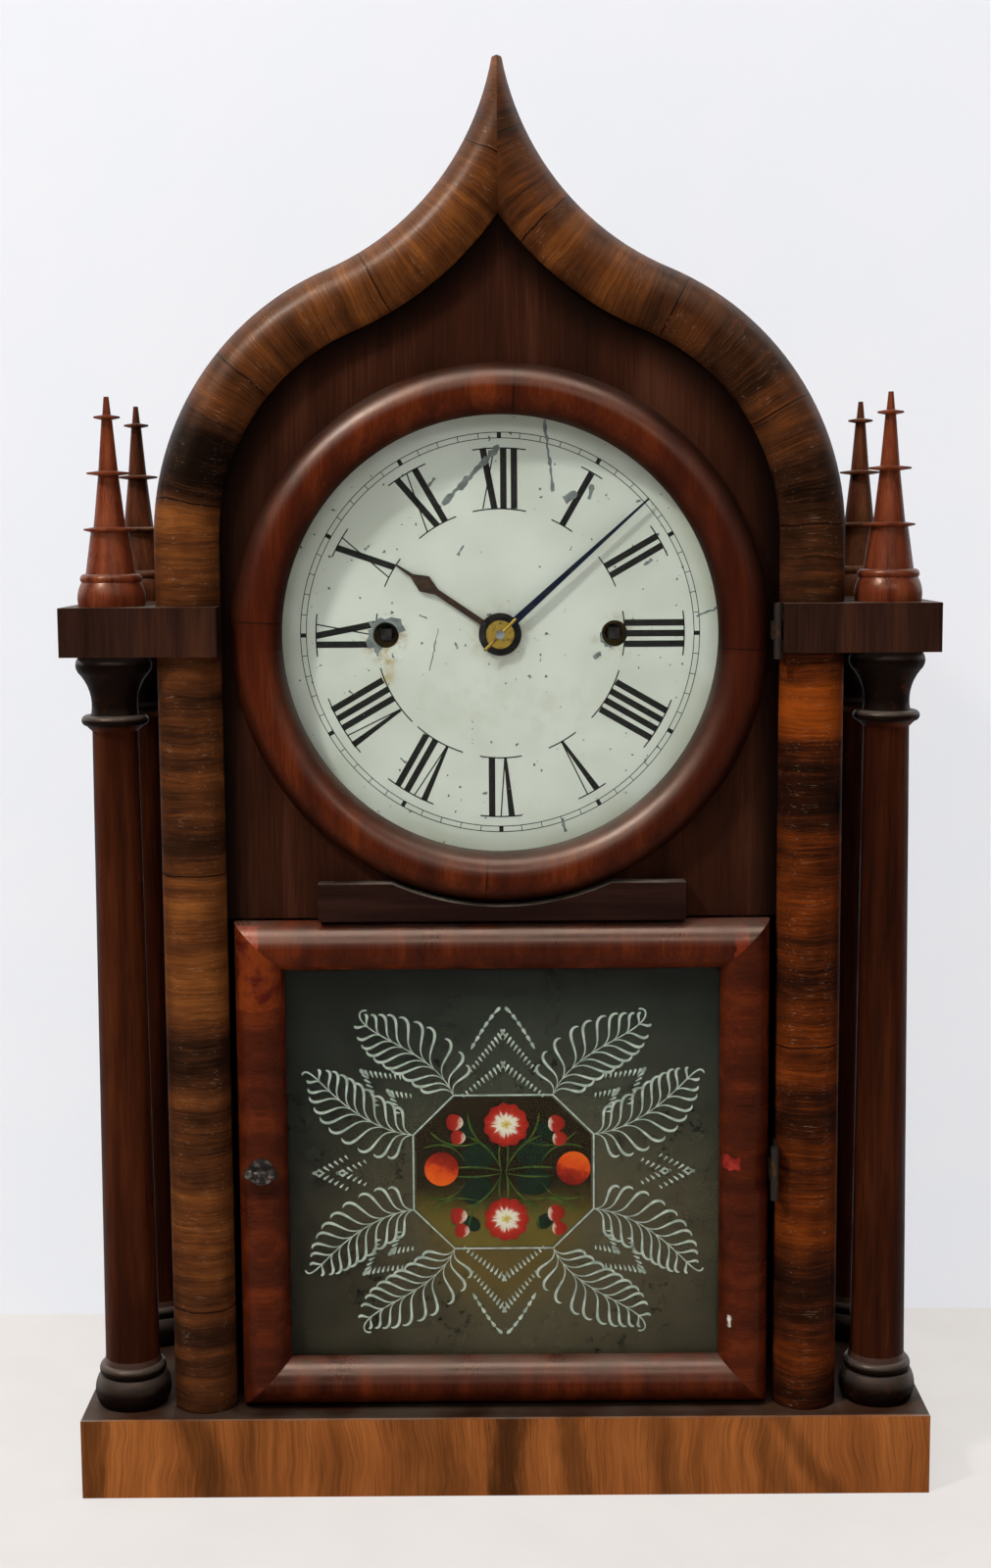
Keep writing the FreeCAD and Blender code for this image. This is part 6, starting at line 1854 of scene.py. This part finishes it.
    def drops(self, leaf: Leaf, ends: tuple[Flat, Flat], tail: Vector, count: int) -> None:
        """A row of drops whose tails point inwards.

        Args:
            leaf: The layer of paint.
            ends: The row's apex, where the drops are longest, and its other end.
            tail: The direction of the tails.
            count: Number of drops.
        """
        apex, end = Vector(ends[0]), Vector(ends[1])
        arm = (end - apex).normalized()
        inward = (tail - arm * tail.dot(arm)).normalized()
        for index in range(count):
            t = index / (count - 1)
            head = apex.lerp(end, t)
            foot = head + tail.lerp(inward, 0.2 + 0.4 * t).normalized() * (3.2 - 1.5 * t)
            path = curve(((foot.x, foot.y), (head.x, head.y)), 8)
            leaf.ribbon(path, swelling(8, 0.15, 1.0 - 0.25 * t, 0.72))

    def arch(self, leaf: Leaf, sx: int, sz: int, count: int = 6) -> None:
        """Half of the arch of long drops over the chevrons.

        Args:
            leaf: The layer of paint.
            sx: Minus one for the left half and one for the right.
            sz: Minus one for the lower arch and one for the upper.
            count: Number of drops.
        """
        for index in range(count):
            foot, head = index / count, (index + 0.9) / count
            points = []
            for t in (foot, (foot + head) / 2, head):
                points.append((sx * (11.1 * (1 - t) ** 0.78 + 0.4), sz * (45.8 + 15.6 * t)))
            leaf.ribbon(curve(points, 8), swelling(8, 0.25, 1.3, 0.65))

    def flowers(self) -> None:
        """Two large flowers, two fruits and four pairs of buds, each a piece of its own."""
        petals = ((0.0, "c4a92c"), (0.13, "d6bd58"), (0.2, "f4efe2"), (0.42, "ecdccd"), (0.55, "bc3e2a"),
                  (0.7, "b02213"), (1.0, "8e180e"))
        cups = ((0.05, "e6dcd0"), (0.2, "d9b9aa"), (0.34, "ad2616"), (1.0, "84150d"))
        skin = ((0.1, "ea620e"), (0.45, "dc4a0a"), (0.6, "a32408"), (0.9, "7c1006"))
        petal = Glow("flower_petals", petals, 8.6).make()
        left = Glow("bud_petals_0", cups, 3.6, (-1.0, 0.25)).make()
        right = Glow("bud_petals_1", cups, 3.6, (1.0, 0.25)).make()
        for index, z in enumerate((17.6, -17.8)):
            self.bloom(f"tablet_flower_{index}", (1.0, z), 8.3, 11, petal)
        for index, (x, z) in enumerate(((-17.8, 18.6), (19.2, 18.0), (-16.6, -16.4), (19.0, -15.6))):
            bud = right if x > 0 else left
            self.bloom(f"tablet_bud_{index}", (x, z), 3.2, 3, bud)
            self.bloom(f"tablet_small_bud_{index}", (x + 1.2, z - 5.6), 2.8, 3, bud)
        for index, side in enumerate((-1, 1)):
            glow = Glow(f"fruit_skin_{index}", skin, 6.5, (-0.3 * side, -0.93 * side))
            fruit = self.leaf(f"tablet_fruit_{index}", 1, (1.4 + side * 24.0, 1.2))
            fruit.polygon(oval(6.2, 6.3, 40))
            fruit.finish(glow.make(), *TABLET_PANE)

    def bloom(self, name: str, at: Flat, radius: float, petals: int, material: bpy.types.Material) -> None:
        """A round flower with lobed petals.

        Args:
            name: The piece's name.
            at: Its middle, from the middle of the tablet.
            radius: Its radius in millimetres.
            petals: Number of petals.
            material: The paint.
        """
        leaf = self.leaf(name, 1, at)
        outline = []
        for angle in turns(72):
            lobe = radius * (0.955 + 0.045 * math.cos(petals * angle))
            outline.append((lobe * math.cos(angle), lobe * math.sin(angle)))
        leaf.polygon(outline)
        leaf.finish(material, *TABLET_PANE)

    def leaves(self) -> None:
        """Four dark leaves about the middle and a cup by each pair of buds."""
        leaf = self.leaf("tablet_leaves", 3)
        middle = ((-9.1, 6.0, 0.1), (10.6, 7.4, 0.3), (-9.8, -6.8, 0.6), (11.0, -4.0, 0.1))
        cups = ((-13.0, 15.6, 0.9), (15.0, 15.0, -0.9), (-11.6, -19.4, -0.7), (15.0, -18.6, 0.7))
        for wide, high, places in ((6.2, 4.9, middle), (3.4, 2.6, cups)):
            for x, z, tilt in places:
                leaf.polygon(oval(wide, high, 36, (x, z), tilt))
        leaf.finish(Paint("leaf_dark_green", "06160a", "0a2110", "050f06").make(), *TABLET_PANE)

    def stems(self) -> None:
        """Stems and blades between the flowers, the same in each quarter."""
        leaf = self.leaf("tablet_stems", 2)
        stems = (((0.8, 0.0), (2.0, 5.0), (1.4, 10.0)), ((1.0, 1.0), (5.0, 11.0), (14.0, 13.5)),
                 ((1.0, 0.5), (9.0, 2.5), (18.0, 1.5)), ((7.5, 10.5), (12.5, 14.5), (13.0, 22.0)),
                 ((14.0, 4.0), (19.0, 13.0), (29.0, 9.0)), ((8.0, 11.5), (19.0, 7.0), (26.5, 15.0)))
        for side in (-1, 1):
            for way in (-1, 1):
                for stem in stems:
                    path = curve([(side * x, way * z) for x, z in stem], 12)
                    leaf.ribbon(path, swelling(12, 0.15, 0.72, 0.5))
        leaf.finish(Paint("stem_green", "4f6622", "2a481c", "16280f").make(), *TABLET_PANE)

    def label(self) -> None:
        """Blank aged paper with frayed edges, pasted on the inside of the backboard."""
        board = Span("backboard")
        leaf = Leaf("inside_label", board.low[1] - 0.3, 0.25, (self.centre[0], self.centre[1] + self.drop))
        draw = random.Random(7)
        steps = 24
        corners = oblong(self.paper)
        outline = []
        for start, end in zip(corners, corners[1:] + corners[:1]):
            for index in range(steps):
                t = index / steps
                x = start[0] + (end[0] - start[0]) * t + draw.uniform(-0.7, 0.3)
                z = start[1] + (end[1] - start[1]) * t + draw.uniform(-0.7, 0.3)
                outline.append((x, z))
        leaf.polygon(outline)
        leaf.finish(Paper("label_paper", "56574a", "302e22").make(), "case", "carcass_wood")


@dataclass
class Movement:
    """Wheels, plates, springs, pendulum, gong and hammer.

    Attributes:
        brass: Metal of the wheels, the back plate and the pendulum's bob.
        steel: Metal of the pillars, the springs, the hammer and the gong.
        iron: Metal of the gong's base.
        plate: The front plate's brass, darkened as painted shade behind the dial.
        winding: The dark steel of the winding arbors.
    """

    brass: Metal = Metal("movement_brass", "8a6c34", "6a5229", cover=0.4, roughness=0.36, patch=16.0)
    steel: Metal = Metal("movement_steel", "8d8f92", "55504a", cover=0.35, roughness=0.3, patch=5.0)
    iron: Metal = Metal("gong_iron", "3a3835", "2a2019", cover=0.5, roughness=0.6, patch=4.0)
    plate: Metal = Metal("plate_brass_painted_shade", "4e3d20", "3a2c17", cover=0.5, roughness=0.4, patch=16.0)
    winding: Metal = Metal("winding_steel", "3a3632", "1c1916", cover=0.6, roughness=0.45, patch=3.0)

    def build(self) -> None:
        """Dresses every metal node by its slot in the record, and then the few that differ."""
        for slot, metal in (("brass", self.brass), ("steel", self.steel), ("iron", self.iron)):
            entries = [entry for entry in frame["record"]["subparts"] if entry["material_slot"] == slot]
            dress(metal, *[entry["node"] for entry in entries])
        # The front plate is darker as painted shade, so that the winding holes look dark.
        dress(self.plate, "movement_front_plate")
        dress(self.winding, "time_winding_arbor", "strike_winding_arbor")


@dataclass(frozen=True)
class Lamp:
    """An oblong soft lamp that faces the clock.

    Attributes:
        name: The lamp's name.
        at: Its place in metres.
        size: Its width and height in metres.
        power: Its strength in watts.
    """

    name: str
    at: Point
    size: Flat
    power: float

    def hang(self, height: float) -> None:
        """Makes the lamp.

        Args:
            height: The height on the clock's axis that it faces, in metres.
        """
        data = bpy.data.lights.new(self.name, "AREA")
        data.shape = "RECTANGLE"
        data.size, data.size_y = self.size
        data.energy = self.power
        lamp = bpy.data.objects.new(self.name, data)
        lamp.location = self.at
        aim = Vector((0, 0, height)) - Vector(self.at)
        lamp.rotation_euler = aim.to_track_quat("-Z", "Y").to_euler()
        lamp.visible_transmission = False
        bpy.context.scene.collection.objects.link(lamp)


@dataclass
class Studio:
    """Pale floor and wall, soft lamps, surroundings and the camera.

    Attributes:
        lens: Focal length in millimetres.
        sensor: Width of the sensor in millimetres.
        seat: The camera's place in metres.
        pitch: How far it looks down, in degrees.
        roll: How far it is turned about its own axis, in degrees.
        reach: How far floor and wall spread, in metres.
        behind: How far the wall stands behind the clock's middle.
        glow: How much of the floor and the wall the eye sees as plain colour.
        dim: Strength of the surroundings as a light.
        target: Height that the lamps face, in metres.
        lamps: The lamps.
    """

    lens: float = 48.83
    sensor: float = 36.0
    seat: Point = (-0.002, -0.786, 0.349)
    pitch: float = 6.9
    roll: float = -0.39
    reach: float = 5.0
    behind: float = 0.132
    glow: float = 0.75
    dim: float = 0.05
    target: float = 0.26
    lamps: tuple[Lamp, ...] = (
        Lamp("key_lamp", (-0.78, -0.76, 1.38), (0.13, 0.13), 13.2),
        Lamp("strip_lamp", (-0.1, -1.0, 0.78), (1.4, 0.16), 2.6),
        Lamp("top_lamp", (0.0, -0.5, 1.5), (1.2, 0.5), 7.5),
        Lamp("fill_lamp", (1.0, -1.3, 0.75), (0.8, 0.8), 0.6),
    )

    def build(self) -> None:
        """Makes everything round the clock."""
        self.camera()
        self.floor()
        self.wall()
        self.world()
        for lamp in self.lamps:
            lamp.hang(self.target)
        bpy.context.scene.view_settings.view_transform = "Standard"

    def camera(self) -> None:
        """The photograph's viewpoint."""
        data = bpy.data.cameras.new("camera")
        data.lens = self.lens
        data.sensor_width = self.sensor
        data.clip_start = 0.01
        camera = bpy.data.objects.new("camera", data)
        camera.location = self.seat
        camera.rotation_euler = (math.radians(90 - self.pitch), 0.0, 0.0)
        camera.rotation_euler.rotate_axis("Z", math.radians(self.roll))
        bpy.context.scene.collection.objects.link(camera)
        bpy.context.scene.camera = camera

    def floor(self) -> None:
        """A wide pale sheet under the clock."""
        far = self.reach
        corners = [(-far, -far, 0), (far, -far, 0), (far, far, 0), (-far, far, 0)]
        self.sheet("floor", corners, ("efeae6", "ece7e3"))

    def wall(self) -> None:
        """A pale wall behind the clock that lets lamps through."""
        far, back = self.reach, self.behind
        corners = [(-far, back, 0), (far, back, 0), (far, back, far), (-far, back, far)]
        wall = self.sheet("wall", corners, ("f3f3f7", "f1f2f6"))
        wall.visible_shadow = False

    def sheet(self, name: str, corners: Sequence[Point], tones: tuple[str, str]) -> bpy.types.Object:
        """A flat pale sheet of the studio.

        Args:
            name: The sheet's name.
            corners: Its corners in metres, anticlockwise as seen from its front.
            tones: The two colours of its paper.

        Returns:
            The sheet.
        """
        mesh = bpy.data.meshes.new(name)
        mesh.from_pydata(corners, [], [(0, 1, 2, 3)])
        mesh.materials.append(self.backdrop(name + "_paper", tones))
        sheet = bpy.data.objects.new(name, mesh)
        bpy.context.scene.collection.objects.link(sheet)
        return sheet

    def backdrop(self, name: str, tones: tuple[str, str]) -> bpy.types.Material:
        """Pale paper that keeps its colour for the eye and is clear from behind.

        Args:
            name: The material's name.
            tones: Its two colours.

        Returns:
            The material.
        """
        graph = Graph(name)
        grain = graph.noise(graph.place(), 1 / 40.0, 3.0)
        colour = graph.mix(graph.ease(grain, 0.3, 0.7), paint(tones[0]), paint(tones[1]))
        graph.surface(Base_Color=colour, Roughness=0.8)
        plain = graph.add("Emission", {"Color": colour})
        light = graph.add("LightPath").outputs
        shown = graph.maths("MAXIMUM", light["Is Glossy Ray"], light["Is Transmission Ray"])
        shown = graph.times(shown, graph.maths("LESS_THAN", light["Diffuse Depth"], 0.5))
        seen = graph.times(graph.maths("MAXIMUM", light["Is Camera Ray"], shown), self.glow)
        pale = graph.either(seen, graph.shader, plain)
        behind = graph.add("NewGeometry").outputs["Backfacing"]
        return graph.show(graph.either(behind, pale, graph.add("BsdfTransparent")))

    def world(self) -> None:
        """A dim room in front of the clock, and a pale one where the eye and the glass look past it."""
        world = bpy.data.worlds.new("surroundings")
        bpy.context.scene.world = world
        world.use_nodes = True
        nodes = Nodes(world.node_tree)
        light = nodes.add("LightPath").outputs
        direct = nodes.maths("LESS_THAN", light["Diffuse Depth"], 0.5)
        passed = nodes.times(light["Is Transmission Ray"], direct)
        seen = nodes.maths("MAXIMUM", light["Is Camera Ray"], passed)
        level = nodes.add("MapRange", {"Value": seen, "To Min": self.dim, "To Max": 1.0})
        room = world.node_tree.nodes["Background"]
        nodes.feed(room.inputs["Color"], paint("f0f1f5"))
        nodes.feed(room.inputs["Strength"], level.outputs["Result"])


def main() -> None:
    """Builds every part of the scene in order."""
    logging.basicConfig(level=logging.INFO, format="%(name)s %(message)s")
    for part in (Movement(), CaseWork(), Doors(), Dial(), Tablet(), Studio()):
        part.build()
        LOG.info("%s done", type(part).__name__)


if __name__ == "__main__":
    main()
